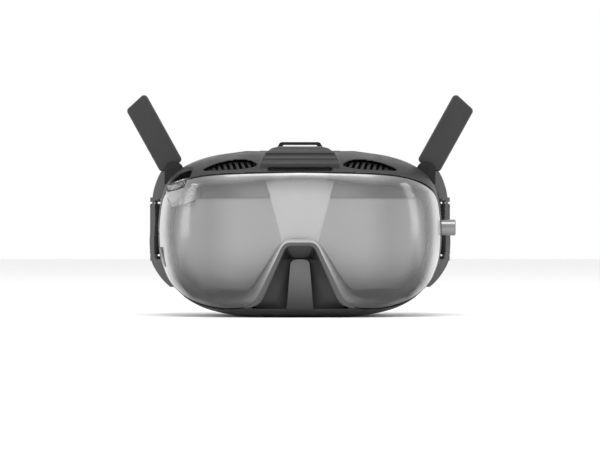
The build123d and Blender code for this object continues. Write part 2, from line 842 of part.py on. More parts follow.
# --- aerials -----------------------------------------------------------------------------------
for side, hand in ((-1, "right"), (1, "left")):
    half = AERIAL_THICK / 2
    tip = [(-AERIAL_HALF_WIDTH, AERIAL_TIP + AERIAL_SLANT), (AERIAL_HALF_WIDTH, AERIAL_TIP - AERIAL_SLANT)]
    with BuildPart() as aerial_base:
        for start in (-half - 2.5, half + 0.3):
            with BuildSketch(Plane.XZ.offset(-(AERIAL_Y + start))):
                with Locations((side * AERIAL_X, AERIAL_Z)):
                    Circle(6.2)
                with Locations((side * (AERIAL_X - 0.2), 91.1)):
                    Rectangle(12.4, 8.8)
            extrude(amount=-2.2)
        with BuildSketch(Plane.XZ.offset(-(AERIAL_Y - half - 2.5))):
            with Locations((side * (AERIAL_X + 2.2), 87.4)):
                Rectangle(7.6, 1.4)
        extrude(amount=-(2 * half + 5.0))
        with BuildSketch(Plane.XZ.offset(-(AERIAL_Y - half - 3))):
            with Locations((side * AERIAL_X, AERIAL_Z)):
                Circle(PIN_R + 0.03)
        extrude(amount=-(2 * half + 6), mode=Mode.SUBTRACT)
    save(aerial_base.part, f"aerial_base_{hand}")

    with BuildPart() as aerial_pin:
        with BuildSketch(Plane.XZ.offset(-(AERIAL_Y - half - 2.3))):
            with Locations((side * AERIAL_X, AERIAL_Z)):
                Circle(PIN_R)
        extrude(amount=-(2 * half + 4.6))
    save(aerial_pin.part, f"aerial_pin_{hand}")

    with BuildPart() as aerial_knuckle:
        with BuildSketch(paddle_plane(side, -half)):
            Circle(5.1)
            with Locations((0, 1.5)):
                Rectangle(9.4, 3.0)
            Circle(PIN_R + 0.05, mode=Mode.SUBTRACT)
        extrude(amount=2 * half)
        with BuildSketch(paddle_plane(side, -half)):
            with Locations((0, AERIAL_ROOT + 4.0)):
                Rectangle(30, 8.0)
        extrude(amount=2 * half, mode=Mode.SUBTRACT)
        with BuildSketch(paddle_plane(side, -1.2)):
            with Locations((0, AERIAL_ROOT + 3.4)):
                Rectangle(8.0, 7.0)
        extrude(amount=2.4)
    save(aerial_knuckle.part, f"aerial_knuckle_{hand}")

    for piece, low in (("front", 0.0), ("back", -half)):
        start = low if side > 0 else -half - low
        with BuildPart() as aerial_shell:
            with BuildSketch(paddle_plane(side, start)) as outline:
                with BuildLine():
                    Polyline(
                        (-AERIAL_HALF_WIDTH, AERIAL_ROOT), tip[0], tip[1], (AERIAL_HALF_WIDTH, AERIAL_ROOT),
                        close=True,
                    )
                make_face()
            extrude(amount=half)
            fillet(aerial_shell.edges().filter_by(Axis.Y), 2.6)
            outer = aerial_shell.faces().sort_by(Axis.Y)[0 if piece == "front" else -1]
            chamfer(outer.edges(), 0.7)
            with BuildSketch(paddle_plane(side, -1.25)):
                with Locations((0, AERIAL_ROOT + 3.4)):
                    Rectangle(8.1, 7.2)
            extrude(amount=2.5, mode=Mode.SUBTRACT)
            with BuildSketch(paddle_plane(side, -0.5)):
                with Locations((0, 31.0)):
                    Rectangle(12.4, 36.4)
            extrude(amount=1.0, mode=Mode.SUBTRACT)
        save(aerial_shell.part, f"aerial_{piece}_{hand}")

    with BuildPart() as aerial_element:
        with BuildSketch(paddle_plane(side, -0.4)):
            with Locations((0, 31.0)):
                Rectangle(12.0, 36.0)
        extrude(amount=0.8)
    save(aerial_element.part, f"aerial_element_{hand}")

# --- optics and electronics --------------------------------------------------------------------
with BuildPart() as display_frame:
    add(block(-59.0, 59.0, DISPLAY_Y - 2.2, DISPLAY_Y + 3.2, EYE_Z - 27.0, EYE_Z + 27.0))
    fillet(display_frame.edges().filter_by(Axis.Y), 6.0)
    add(block(-56.1, 56.1, DISPLAY_Y - 0.1, DISPLAY_Y + 9, EYE_Z - 24.1, EYE_Z + 24.1), mode=Mode.SUBTRACT)
save(display_frame.part, "display_frame")

with BuildPart() as display_panel:
    add(block(-56.0, 56.0, DISPLAY_Y, DISPLAY_Y + 2.4, EYE_Z - 24.0, EYE_Z + 24.0))
save(display_panel.part, "display_panel")

with BuildPart() as main_board:
    add(block(-42.0, 42.0, -35.4, -34.0, 44.0, 79.0))
    for x, z, w, h in ((-18, 62, 16, 16), (10, 66, 14, 11), (28, 54, 9, 9), (-34, 52, 8, 6), (8, 51, 12, 5)):
        add(block(x - w / 2, x + w / 2, -34.0, -32.8, z - h / 2, z + h / 2))
save(main_board.part, "main_board")

with BuildPart() as heat_sink:
    add(block(-36.0, 36.0, -37.4, -35.5, 51.0, 77.0))
    for fin in range(12):
        x = -35.0 + fin * 70.0 / 11
        add(block(x - 0.8, x + 0.8, -43.0, -37.4, 51.0, 77.0))
save(heat_sink.part, "heat_sink")

with BuildPart() as fan_housing:
    add(block(-16.0, 16.0, -4.0, 28.0, 89.0, 98.0))
    fillet(fan_housing.edges().filter_by(Axis.Z), 3.0)
    with BuildSketch(Plane.XY.offset(90.2)):
        with Locations((0, 12.0)):
            Circle(14.2)
    extrude(amount=20, mode=Mode.SUBTRACT)
    with BuildSketch(Plane.XY.offset(90.0)):
        with Locations((0, 12.0)):
            Circle(1.5)
    extrude(amount=6.6)
    with BuildSketch(Plane.XY.offset(96.6)):
        with Locations((0, 12.0)):
            Circle(15.4)
            Circle(11.0, mode=Mode.SUBTRACT)
    extrude(amount=1.4)
save(fan_housing.part, "fan_housing")

with BuildPart() as fan_rotor:
    with BuildSketch(Plane.XY.offset(91.0)):
        with Locations((0, 12.0)):
            Circle(5.4)
            Circle(1.56, mode=Mode.SUBTRACT)
    extrude(amount=5.2)
    for blade in range(9):
        with BuildSketch(Plane.XY.offset(91.2)):
            with Locations(Location((0, 12.0), blade * 40.0)):
                with Locations(Location((9.2, 0.8), 24.0)):
                    Rectangle(8.6, 1.0)
        extrude(amount=4.6)
save(fan_rotor.part, "fan_rotor")

with BuildPart() as lens_carrier:
    add(carrier_form)
    add(block(-120, 120, 12.0, 14.0, 3.0, 105), mode=Mode.INTERSECT)
    for side in (-1, 1):
        with BuildSketch(Plane.XZ):
            with Locations((side * EYE_SPACING / 2, EYE_Z)):
                Circle(BARREL_R + 0.1)
        extrude(amount=-20, mode=Mode.SUBTRACT)
    add(block(-17, 17, 0, 30, 87.5, 120), mode=Mode.SUBTRACT)
    add(nose_space(WALL + GAP), mode=Mode.SUBTRACT)
    add(block(84, 120, 0, 30, 40, 90), mode=Mode.SUBTRACT)
save(lens_carrier.part, "lens_carrier")

with BuildPart() as lens_plate:
    add(carrier_form)
    add(block(-120, 120, PLATE_Y, PLATE_Y + 2.0, 3.0, 105), mode=Mode.INTERSECT)
    for side in (-1, 1):
        with BuildSketch(Plane.XZ):
            with Locations((side * EYE_SPACING / 2, EYE_Z)):
                Circle(BARREL_R + 0.1)
        extrude(amount=-50, mode=Mode.SUBTRACT)
    add(nose_space(WALL + GAP), mode=Mode.SUBTRACT)
    with BuildSketch(Plane.XZ.offset(-PLATE_Y)):
        with Locations((0, 86.0)):
            SlotOverall(14.2, 6.2)
    extrude(amount=-5, mode=Mode.SUBTRACT)
    with BuildSketch(Plane.XZ.offset(-PLATE_Y)):
        with Locations(*PLATE_SCREWS):
            Circle(1.1)
    extrude(amount=-5, mode=Mode.SUBTRACT)
save(lens_plate.part, "lens_plate")

with BuildPart() as proximity_window:
    with BuildSketch(Plane.XZ.offset(-PLATE_Y)):
        with Locations((0, 86.0)):
            SlotOverall(14.0, 6.0)
    extrude(amount=-2.3)
save(proximity_window.part, "proximity_window")

with BuildPart() as plate_screws:
    for x, z in PLATE_SCREWS:
        with BuildSketch(Plane.XZ.offset(-(PLATE_Y - 5.0))):
            with Locations((x, z)):
                Circle(1.0)
        extrude(amount=-7.0)
        with BuildSketch(Plane.XZ.offset(-(PLATE_Y + 2.0))):
            with Locations((x, z)):
                Circle(2.0)
                RegularPolygon(0.9, 6, mode=Mode.SUBTRACT)
        extrude(amount=-1.3)
save(plate_screws.part, "plate_screws")

for side, hand in ((-1, "right"), (1, "left")):
    with BuildPart() as lens_barrel:
        with BuildSketch(Plane.XZ.offset(26.0)):
            with Locations((side * EYE_SPACING / 2, EYE_Z)):
                Circle(BARREL_R)
                Circle(LENS_R - 1.0, mode=Mode.SUBTRACT)
        extrude(amount=-(26.0 + PLATE_Y + 2.6))
        with BuildSketch(Plane.XZ.offset(-(LENS_Y - 6.0))):
            with Locations((side * EYE_SPACING / 2, EYE_Z)):
                Circle(LENS_R + 0.08)
        extrude(amount=-30, mode=Mode.SUBTRACT)
    save(lens_barrel.part, f"lens_barrel_{hand}")

    with BuildPart() as lens:
        with BuildSketch(Plane.XZ.offset(-(LENS_Y - 5.9))):
            with Locations((side * EYE_SPACING / 2, EYE_Z)):
                Circle(LENS_R)
        extrude(amount=-11.0)
        with Locations((side * EYE_SPACING / 2, LENS_Y + 4.8 - LENS_BULGE, EYE_Z)):
            Sphere(LENS_BULGE, mode=Mode.INTERSECT)
    save(lens.part, f"lens_{hand}")

# --- face side ---------------------------------------------------------------------------------
with BuildPart() as face_frame:
    add(brow_slice(face_outline(-0.5), FACE_Y + 0.1, None, BROW_R + 0.2))
    with BuildSketch(Plane.XZ.offset(-30)):
        add(face_opening(FRAME_STEP))
    extrude(amount=-60, mode=Mode.SUBTRACT)
save(face_frame.part, "face_frame")

with BuildPart() as face_cushion:
    add(brow_slice(face_outline(1.0), FACE_Y, BROW_R, BROW_R - CUSHION_THICK))
    with BuildSketch(Plane.XZ.offset(-30)):
        add(face_opening())
    extrude(amount=-60, mode=Mode.SUBTRACT)
save(face_cushion.part, "face_cushion")

# --- yokes and headband ------------------------------------------------------------------------
for side, hand in ((-1, "right"), (1, "left")):
    with BuildPart() as yoke:
        with BuildSketch(Plane.XZ.offset(-YOKE_FRONT)) as front_view:
            with BuildLine():
                outer = Spline(*[(side * x, z) for x, z in YOKE_EDGE])
                inner = Spline(*[(side * (x - YOKE_WALL), z) for x, z in YOKE_EDGE])
                Line(outer @ 0, inner @ 0)
                Line(outer @ 1, inner @ 1)
            make_face()
        extrude(amount=-(ROD_Y + 4.5 - YOKE_FRONT))
        with BuildSketch(Plane.XZ.offset(-YOKE_FRONT)):
            with BuildLine():
                Polyline(
                    (side * 91.4, 96.4), (side * 96.0, 86.0), (side * 97.0, 77.0), (side * 80.0, 77.0),
                    (side * 80.0, 94.0),
                    close=True,
                )
            make_face()
            with BuildLine():
                Polyline(
                    (side * 98.0, 37.0), (side * 86.5, 19.5), (side * 76.0, 22.0), (side * 80.0, 37.0),
                    close=True,
                )
            make_face()
        extrude(amount=-14)
        with BuildSketch(Plane.YZ.offset(side * 60)) as side_view:
            with BuildLine():
                Polyline(
                    (YOKE_FRONT, 10), (YOKE_FRONT, 110), (26.0, 110), (30.0, 88), (48.5, 79.5),
                    (48.5, 34.5), (30.0, 26.0), (26.0, 10),
                    close=True,
                )
            make_face()
        extrude(amount=side * 60, mode=Mode.INTERSECT)
        add(yoke_clear, mode=Mode.SUBTRACT)
        x0, x1 = sorted((side * 60, side * 130))
        window = block(x0, x1, 20.0, 60.0, STRAP_Z - STRAP_HALF - 1, STRAP_Z + STRAP_HALF + 1)
        add(window, mode=Mode.SUBTRACT)
        with BuildSketch(Plane.XZ.offset(-YOKE_FRONT)):
            with BuildLine():
                Polyline(
                    (side * 90, 76.0), (side * 97.0, 76.0), (side * 96.0, 64.0), (side * 96.6, 49.0),
                    (side * 97.0, 42.0), (side * 90, 42.0),
                    close=True,
                )
            make_face()
        extrude(amount=-60, mode=Mode.SUBTRACT)
        for z0 in (STRAP_Z + STRAP_HALF + 1.2, STRAP_Z - STRAP_HALF - 4.2):
            with BuildSketch(Plane.XY.offset(z0)):
                with Locations((side * ROD_X, ROD_Y)):
                    Circle(3.6)
                with Locations((side * (ROD_X + 1.2), ROD_Y - 5)):
                    Rectangle(3.6, 10)
            extrude(amount=3.0)
        with BuildSketch(Plane.XY.offset(STRAP_Z - STRAP_HALF - 3.0)):
            with Locations((side * ROD_X, ROD_Y)):
                Circle(ROD_R + 0.03)
        extrude(amount=2 * STRAP_HALF + 6.0, mode=Mode.SUBTRACT)
        for z, head_x in YOKE_SCREWS:
            with BuildSketch(Plane.YZ.offset(side * 70)):
                with Locations((17.0, z)):
                    Circle(1.3)
            extrude(amount=side * 50, mode=Mode.SUBTRACT)
            with BuildSketch(Plane.YZ.offset(side * head_x)):
                with Locations((17.0, z)):
                    Circle(2.6)
            extrude(amount=side * 20, mode=Mode.SUBTRACT)
    save(yoke.part, f"yoke_{hand}")

    with BuildPart() as yoke_rod:
        with BuildSketch(Plane.XY.offset(STRAP_Z - STRAP_HALF - 2.9)):
            with Locations((side * ROD_X, ROD_Y)):
                Circle(ROD_R)
        extrude(amount=2 * STRAP_HALF + 5.8)
    save(yoke_rod.part, f"yoke_rod_{hand}")

lean = math.radians(STRAP_IN)
away = Vector(-math.sin(lean), math.cos(lean))
square = Vector(math.cos(lean), math.sin(lean))
rod_centre = Vector(ROD_X, ROD_Y)
loop_r = ROD_R + 0.15 + STRAP_THICK / 2
band_start = rod_centre + square * loop_r
with BuildPart() as headband:
    with BuildSketch(Plane.XY.offset(STRAP_Z - STRAP_HALF)):
        with BuildLine() as centre_line:
            fold_end = band_start + away * STRAP_FOLD - square * STRAP_THICK
            fold = Line(fold_end, rod_centre - square * loop_r)
            turn = ThreePointArc(fold @ 1, rod_centre - away * loop_r, band_start)
            straight = Line(turn @ 1, band_start + away * STRAP_SIDE)
            Spline(straight @ 1, (0, HEAD_Y), tangents=[(away.X, away.Y), (-1, 0)])
            mirror(about=Plane.YZ)
        trace(centre_line.line, line_width=STRAP_THICK)
    extrude(amount=2 * STRAP_HALF)
save(headband.part, "headband")

slider_start = band_start + away * SLIDER_AT
with BuildPart() as strap_adjuster:
    with BuildSketch(Plane(origin=(slider_start.X, slider_start.Y, STRAP_Z), x_dir=(square.X, square.Y, 0),
                           z_dir=(away.X, away.Y, 0))):
        RectangleRounded(6.2, 2 * STRAP_HALF + 6.0, 1.6)
        Rectangle(STRAP_THICK + 0.6, 2 * STRAP_HALF + 0.8, mode=Mode.SUBTRACT)
    extrude(amount=13.0)
    for step in (2.6, 7.8):
        window = slider_start + away * (step + 1.3)
        with BuildSketch(Plane(origin=(window.X, window.Y, STRAP_Z), x_dir=(away.X, away.Y, 0),
                               z_dir=(square.X, square.Y, 0))):
            RectangleRounded(2.6, 2 * STRAP_HALF, 1.0)
        extrude(amount=6, mode=Mode.SUBTRACT)
save(strap_adjuster.part, "strap_adjuster")

with BuildPart() as yoke_screws:
    for side in (-1, 1):
        for z, head_x in YOKE_SCREWS:
            with BuildSketch(Plane.YZ.offset(side * 87.6)):
                with Locations((17.0, z)):
                    Circle(1.2)
            extrude(amount=side * (head_x - 87.6))
            with BuildSketch(Plane.YZ.offset(side * head_x)):
                with Locations((17.0, z)):
                    Circle(2.3)
                    RegularPolygon(1.0, 6, mode=Mode.SUBTRACT)
            extrude(amount=side * 1.3)
save(yoke_screws.part, "yoke_screws")
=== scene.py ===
"""Video goggles: smooth visor, faceted mask, foam cushion and woven headband built round the frame,
with procedural materials on every piece. Shapes are in millimetres up to mesh(), which makes them
metres. Tools, lights and the camera are placed in metres."""
import bpy
import json
import math
import numpy as np
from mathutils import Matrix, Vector


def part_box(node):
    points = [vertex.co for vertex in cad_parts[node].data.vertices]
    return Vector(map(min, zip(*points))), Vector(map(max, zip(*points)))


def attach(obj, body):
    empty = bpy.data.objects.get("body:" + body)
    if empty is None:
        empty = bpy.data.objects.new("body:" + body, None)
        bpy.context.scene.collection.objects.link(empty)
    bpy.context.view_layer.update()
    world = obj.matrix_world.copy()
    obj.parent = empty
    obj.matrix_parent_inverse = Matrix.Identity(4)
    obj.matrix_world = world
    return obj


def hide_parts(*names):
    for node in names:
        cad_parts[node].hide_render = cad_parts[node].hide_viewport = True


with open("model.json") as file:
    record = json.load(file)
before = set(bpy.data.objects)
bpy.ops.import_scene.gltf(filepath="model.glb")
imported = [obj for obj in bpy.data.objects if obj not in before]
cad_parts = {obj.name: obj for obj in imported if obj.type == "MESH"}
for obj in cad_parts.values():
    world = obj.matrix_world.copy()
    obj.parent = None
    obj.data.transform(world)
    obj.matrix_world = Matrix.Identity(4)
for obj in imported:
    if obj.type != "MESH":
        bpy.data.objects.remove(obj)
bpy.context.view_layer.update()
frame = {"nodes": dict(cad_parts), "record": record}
NODES = frame["nodes"]
MM = 0.001

# Casing sections: height, half width, front reach
STATIONS = [
    (0.0, 40.0, 40.0), (2.2, 53.0, 49.0), (6.0, 65.5, 54.0), (13.0, 77.0, 57.8), (26.0, 88.0, 60.8),
    (42.0, 92.8, 62.2), (57.0, 93.6, 62.5), (72.0, 92.4, 62.0), (84.0, 89.4, 60.6), (91.5, 85.0, 58.0),
    (97.0, 78.5, 52.5), (101.5, 70.0, 44.0), (105.5, 57.0, 32.0), (108.6, 36.0, 14.0),
]
BELT = 57.0
TOP = 108.6
SIDE_Y = 5.0
FACE_Y = 34.0
FULLNESS = 3.1
REAR_TAPER = 0.93
VISOR_WALL = 2.0

# Brow curve of the face side
BROW_R = 190.0
BROW_Y = 36.0


# ---------------------------------------------------------------- curves and surfaces
def monotone(xs, ys):
    """A smooth curve through points that never overshoots them."""
    xs = np.array(xs, float)
    ys = np.array(ys, float)
    span = np.diff(xs)
    rise = np.diff(ys) / span
    slope = np.zeros(len(xs))
    slope[0] = rise[0]
    slope[-1] = rise[-1]
    for i in range(1, len(xs) - 1):
        if rise[i - 1] * rise[i] > 0:
            slope[i] = 2 * rise[i - 1] * rise[i] / (rise[i - 1] + rise[i])

    def value(x):
        x = np.clip(np.asarray(x, float), xs[0], xs[-1])
        i = np.clip(np.searchsorted(xs, x) - 1, 0, len(span) - 1)
        t = (x - xs[i]) / span[i]
        h00 = 2 * t**3 - 3 * t**2 + 1
        h10 = t**3 - 2 * t**2 + t
        h01 = -2 * t**3 + 3 * t**2
        h11 = t**3 - t**2
        return h00 * ys[i] + h10 * span[i] * slope[i] + h01 * ys[i + 1] + h11 * span[i] * slope[i + 1]

    return value


half_at = monotone([s[0] for s in STATIONS], [s[1] for s in STATIONS])
reach_at = monotone([s[0] for s in STATIONS], [s[2] for s in STATIONS])

# A typical section, whose corner sets how w is spread
SECTION_HALF = 92
SECTION_REACH = 66
turn = np.linspace(0, math.pi / 2, 500)
ROUND_X = np.sin(turn) ** (2 / FULLNESS)
ROUND_Y = np.cos(turn) ** (2 / FULLNESS)
round_steps = np.hypot(np.diff(ROUND_X) * SECTION_HALF, np.diff(ROUND_Y) * SECTION_REACH)
ROUND_W = np.concatenate([[0], np.cumsum(round_steps)])
ROUND_W /= ROUND_W[-1]


def station_height(z, inset):
    """The section of the full-size casing that lies at height z once it is moved in by inset."""
    z = np.asarray(z, float)
    reach = np.where(z < BELT, BELT, TOP - BELT)
    return BELT + (z - BELT) / (1 - inset / reach)


def casing(w, z, inset=0.0):
    """A point of the casing moved in by inset. w is 0 in front, 1 at the widest line, 2 at the back."""
    w = np.asarray(w, float)
    h = station_height(z, inset)
    a = half_at(h) - inset
    b = reach_at(h) - inset + SIDE_Y
    aw = np.abs(w)
    front_x = a * np.interp(aw, ROUND_W, ROUND_X)
    front_y = SIDE_Y - b * np.interp(aw, ROUND_W, ROUND_Y)
    back = np.clip(aw - 1, 0, 1)
    x = np.where(aw > 1, a * (1 - (1 - REAR_TAPER) * back), front_x)
    y = np.where(aw > 1, SIDE_Y + (FACE_Y - SIDE_Y) * back, front_y)
    return np.stack([np.sign(w) * x, y, np.broadcast_to(z, x.shape)], -1)


def across(x, z, inset=0.0):
    """w of the point of the casing's front seen at x, z."""
    a = half_at(station_height(z, inset)) - inset
    return np.sign(x) * np.interp(np.clip(np.abs(x) / a, 0, 1), ROUND_X, ROUND_W)


def spline(points, count, closed=False):
    """count points along a natural cubic through the given ones, spaced evenly in its own parameter."""
    p = np.array(points, float)
    if closed:
        p = np.concatenate([p[-3:], p, p[:3]])
    gap = np.sqrt(np.linalg.norm(np.diff(p, axis=0), axis=1))
    t = np.concatenate([[0], np.cumsum(gap)])
    n = len(p)
    a = np.zeros((n, n))
    r = np.zeros((n, p.shape[1]))
    a[0, 0] = a[-1, -1] = 1
    for i in range(1, n - 1):
        h0 = t[i] - t[i - 1]
        h1 = t[i + 1] - t[i]
        a[i, i - 1 : i + 2] = h0, 2 * (h0 + h1), h1
        r[i] = 6 * ((p[i + 1] - p[i]) / h1 - (p[i] - p[i - 1]) / h0)
    m = np.linalg.solve(a, r)
    if closed:
        s = np.linspace(t[3], t[-3], count, endpoint=False)
    else:
        s = np.linspace(t[0], t[-1], count)
    k = np.clip(np.searchsorted(t, s) - 1, 0, n - 2)
    h = (t[k + 1] - t[k])[:, None]
    u = ((t[k + 1] - s) / (t[k + 1] - t[k]))[:, None]
    v = 1 - u
    return u * p[k] + v * p[k + 1] + ((u**3 - u) * m[k] + (v**3 - v) * m[k + 1]) * h * h / 6


def even(points, count):
    """The same line, redrawn with count points at equal distances."""
    p = np.asarray(points, float)
    d = np.concatenate([[0], np.cumsum(np.linalg.norm(np.diff(p, axis=0), axis=1))])
    s = np.linspace(0, d[-1], count)
    return np.stack([np.interp(s, d, p[:, i]) for i in range(p.shape[1])], -1)


def step(value, start, end):
    """0 before start, 1 after end, smooth between."""
    t = np.clip((value - start) / (end - start), 0, 1)
    return t * t * (3 - 2 * t)


# ---------------------------------------------------------------- meshes
def shade_smooth(data):
    """Smooth shading on every face."""
    data.polygons.foreach_set("use_smooth", [True] * len(data.polygons))


def mesh(name, verts, faces, sharp=None):
    """A new object from points in millimetres."""
    data = bpy.data.meshes.new(name)
    data.from_pydata([tuple(v * MM for v in p) for p in verts], [], faces)
    data.validate()
    shade_smooth(data)
    obj = bpy.data.objects.new(name, data)
    bpy.context.scene.collection.objects.link(obj)
    if sharp:
        data.set_sharp_from_angle(angle=math.radians(sharp))
    return obj


def grid_faces(rows, cols, close_rows=False, close_cols=False, flip=False):
    """Quads over a grid of rows by cols points."""
    faces = []
    for r in range(rows if close_rows else rows - 1):
        for c in range(cols if close_cols else cols - 1):
            r1 = (r + 1) % rows
            c1 = (c + 1) % cols
            quad = (r * cols + c, r * cols + c1, r1 * cols + c1, r1 * cols + c)
            faces.append(quad[::-1] if flip else quad)
    return faces


def modifier(obj, kind, **settings):
    """Adds one modifier with its settings."""
    made = obj.modifiers.new(kind.lower(), kind)
    for key, value in settings.items():
        setattr(made, key, value)


def bake_modifiers(obj):
    """Replaces the object's mesh by what its modifiers make of it."""
    graph = bpy.context.evaluated_depsgraph_get()
    data = bpy.data.meshes.new_from_object(obj.evaluated_get(graph))
    obj.modifiers.clear()
    obj.data = data


def cut(obj, tool):
    """Takes tool's shape out of obj, and removes tool."""
    modifier(obj, "BOOLEAN", object=tool, operation="DIFFERENCE", solver="EXACT")
    bake_modifiers(obj)
    bpy.data.objects.remove(tool)


def coons(top, bottom, left, right):
    """A grid of points between four boundary lines; top and bottom have one count, left and right another."""
    n = len(top)
    m = len(left)
    s = np.linspace(0, 1, n)[None, :, None]
    t = np.linspace(0, 1, m)[:, None, None]
    rows = (1 - t) * bottom[None] + t * top[None]
    cols = (1 - s) * left[:, None] + s * right[:, None]
    low_corners = (1 - s) * (1 - t) * bottom[0] + s * (1 - t) * bottom[-1]
    corners = low_corners + (1 - s) * t * top[0] + s * t * top[-1]
    return rows + cols - corners


def mirrored_columns(grid):
    """A grid whose first column is the middle, with its mirror image before it."""
    other = grid[:, :0:-1].copy()
    other[..., 0] *= -1
    return np.concatenate([other, grid], axis=1)


# ---------------------------------------------------------------- materials
def new_material(name):
    """An empty node material."""
    mat = bpy.data.materials.new(name)
    mat.use_nodes = True
    mat.node_tree.nodes.clear()
    return mat


def node(mat, kind, **values):
    """One shader node; keys are attributes, or input names with spaces written as underscores."""
    made = mat.node_tree.nodes.new(kind)
    for key, value in values.items():
        label = key.replace("_", " ")
        if hasattr(made, key):
            setattr(made, key, value)
        else:
            made.inputs[label].default_value = value
    return made


def link(mat, source, output, target, socket):
    """Joins one node's output to another's input."""
    mat.node_tree.links.new(source.outputs[output], target.inputs[socket])


def grey(value):
    """A linear shade from an 8-bit display grey."""
    c = value / 255
    return c / 12.92 if c <= 0.04045 else ((c + 0.055) / 1.055) ** 2.4


def surface_material(
    name, shade, tint=(1, 1, 1), variation=0.08, roughness=0.5, spread=0.1, grain=0.35, bump=0.15,
    metallic=0.0, specular=0.5, coat=0.0, cloud=18.0, attribute=None, brushed=None,
):
    """Moulded plastic, metal or rubber: fine grain bump, slow colour drift and uneven gloss."""
    mat = new_material(name)
    out = node(mat, "ShaderNodeOutputMaterial")
    bsdf = node(mat, "ShaderNodeBsdfPrincipled")
    bsdf.inputs["Metallic"].default_value = metallic
    bsdf.inputs["Specular IOR Level"].default_value = specular
    bsdf.inputs["Coat Weight"].default_value = coat
    bsdf.inputs["Coat Roughness"].default_value = 0.08
    coords = node(mat, "ShaderNodeTexCoord")
    drift = node(mat, "ShaderNodeTexNoise", Scale=1000 / cloud, Detail=4.0, Roughness=0.6)
    link(mat, coords, "Object", drift, "Vector")
    fine = node(mat, "ShaderNodeTexNoise", Scale=1000 / grain, Detail=2.0, Roughness=0.7)
    if brushed:
        stretch = node(mat, "ShaderNodeMapping")
        stretch.inputs["Scale"].default_value = brushed
        link(mat, coords, "Object", stretch, "Vector")
        link(mat, stretch, "Vector", fine, "Vector")
    else:
        link(mat, coords, "Object", fine, "Vector")
    ramp = node(mat, "ShaderNodeValToRGB")
    low = [max(shade * (1 - variation) * t, 0.0) for t in tint]
    high = [min(shade * (1 + variation) * t, 1.0) for t in tint]
    ramp.color_ramp.elements[0].position = 0.3
    ramp.color_ramp.elements[0].color = (*low, 1)
    ramp.color_ramp.elements[1].position = 0.7
    ramp.color_ramp.elements[1].color = (*high, 1)
    blend = node(mat, "ShaderNodeMath", operation="ADD")
    half = node(mat, "ShaderNodeMath", operation="MULTIPLY")
    half.inputs[1].default_value = 0.5
    link(mat, drift, "Fac", blend, 0)
    link(mat, fine, "Fac", blend, 1)
    link(mat, blend, "Value", half, 0)
    link(mat, half, "Value", ramp, "Fac")
    # An optional per-point shade multiplies the colour; where it is set, it holds painted light and shade.
    if attribute:
        shade_and_painted_light = node(mat, "ShaderNodeAttribute", attribute_name=attribute)
        mix = node(mat, "ShaderNodeMix", data_type="RGBA", blend_type="MULTIPLY")
        mix.inputs["Factor"].default_value = 1.0
        link(mat, ramp, "Color", mix, 6)
        link(mat, shade_and_painted_light, "Color", mix, 7)
        mat.node_tree.links.new(mix.outputs[2], bsdf.inputs["Base Color"])
    else:
        link(mat, ramp, "Color", bsdf, "Base Color")
    gloss = node(mat, "ShaderNodeMapRange")
    gloss.inputs["From Min"].default_value = 0.3
    gloss.inputs["From Max"].default_value = 0.7
    gloss.inputs["To Min"].default_value = max(roughness - spread, 0.02)
    gloss.inputs["To Max"].default_value = min(roughness + spread, 1.0)
    link(mat, drift, "Fac", gloss, "Value")
    link(mat, gloss, "Result", bsdf, "Roughness")
    relief = node(mat, "ShaderNodeBump")
    relief.inputs["Strength"].default_value = bump
    relief.inputs["Distance"].default_value = grain * MM * 0.5
    link(mat, fine, "Fac", relief, "Height")
    link(mat, relief, "Normal", bsdf, "Normal")
    link(mat, bsdf, "BSDF", out, "Surface")
    return mat


def clear_material(name, shade, opacity, roughness, coat=0.5, attribute=None, cover=None):
    """A tinted see-through skin: part glossy plastic, part plain see-through."""
    mat = surface_material(
        name, shade, variation=0.03, roughness=roughness, spread=0.015, grain=0.6, bump=0.01, coat=coat,
        attribute=attribute,
    )
    tree = mat.node_tree
    out = next(n for n in tree.nodes if n.type == "OUTPUT_MATERIAL")
    bsdf = next(n for n in tree.nodes if n.type == "BSDF_PRINCIPLED")
    clear = node(mat, "ShaderNodeBsdfTransparent")
    mix = node(mat, "ShaderNodeMixShader")
    mix.inputs["Fac"].default_value = opacity
    if cover:
        share = node(mat, "ShaderNodeAttribute", attribute_name=cover)
        link(mat, share, "Fac", mix, "Fac")
    link(mat, clear, "BSDF", mix, 1)
    link(mat, bsdf, "BSDF", mix, 2)
    link(mat, mix, "Shader", out, "Surface")
    return mat


def woven_material(name, shade, thread, rib, bump=0.6, roughness=0.85):
    """Elastic webbing: raised ribs along the band crossed by fine threads, from the piece's own lengths."""
    mat = surface_material(name, shade, variation=0.2, roughness=roughness, spread=0.08, grain=0.25, bump=0.3)
    bsdf = next(n for n in mat.node_tree.nodes if n.type == "BSDF_PRINCIPLED")
    bsdf.inputs["Sheen Weight"].default_value = 0.3
    bsdf.inputs["Sheen Roughness"].default_value = 0.5
    place = node(mat, "ShaderNodeAttribute", attribute_name="weave")
    split = node(mat, "ShaderNodeSeparateXYZ")
    link(mat, place, "Vector", split, "Vector")
    waves = []
    for axis, period in (("X", thread), ("Y", rib)):
        scaled = node(mat, "ShaderNodeMath", operation="MULTIPLY")
        scaled.inputs[1].default_value = 2 * math.pi / period
        link(mat, split, axis, scaled, 0)
        wave = node(mat, "ShaderNodeMath", operation="SINE")
        link(mat, scaled, "Value", wave, 0)
        waves.append(wave)
    product = node(mat, "ShaderNodeMath", operation="MULTIPLY")
    link(mat, waves[0], "Value", product, 0)
    link(mat, waves[1], "Value", product, 1)
    height = node(mat, "ShaderNodeMath", operation="ADD")
    link(mat, product, "Value", height, 0)
    link(mat, waves[1], "Value", height, 1)
    relief = node(mat, "ShaderNodeBump")
    relief.inputs["Strength"].default_value = bump
    relief.inputs["Distance"].default_value = 0.0003
    link(mat, height, "Value", relief, "Height")
    link(mat, relief, "Normal", bsdf, "Normal")
    return mat


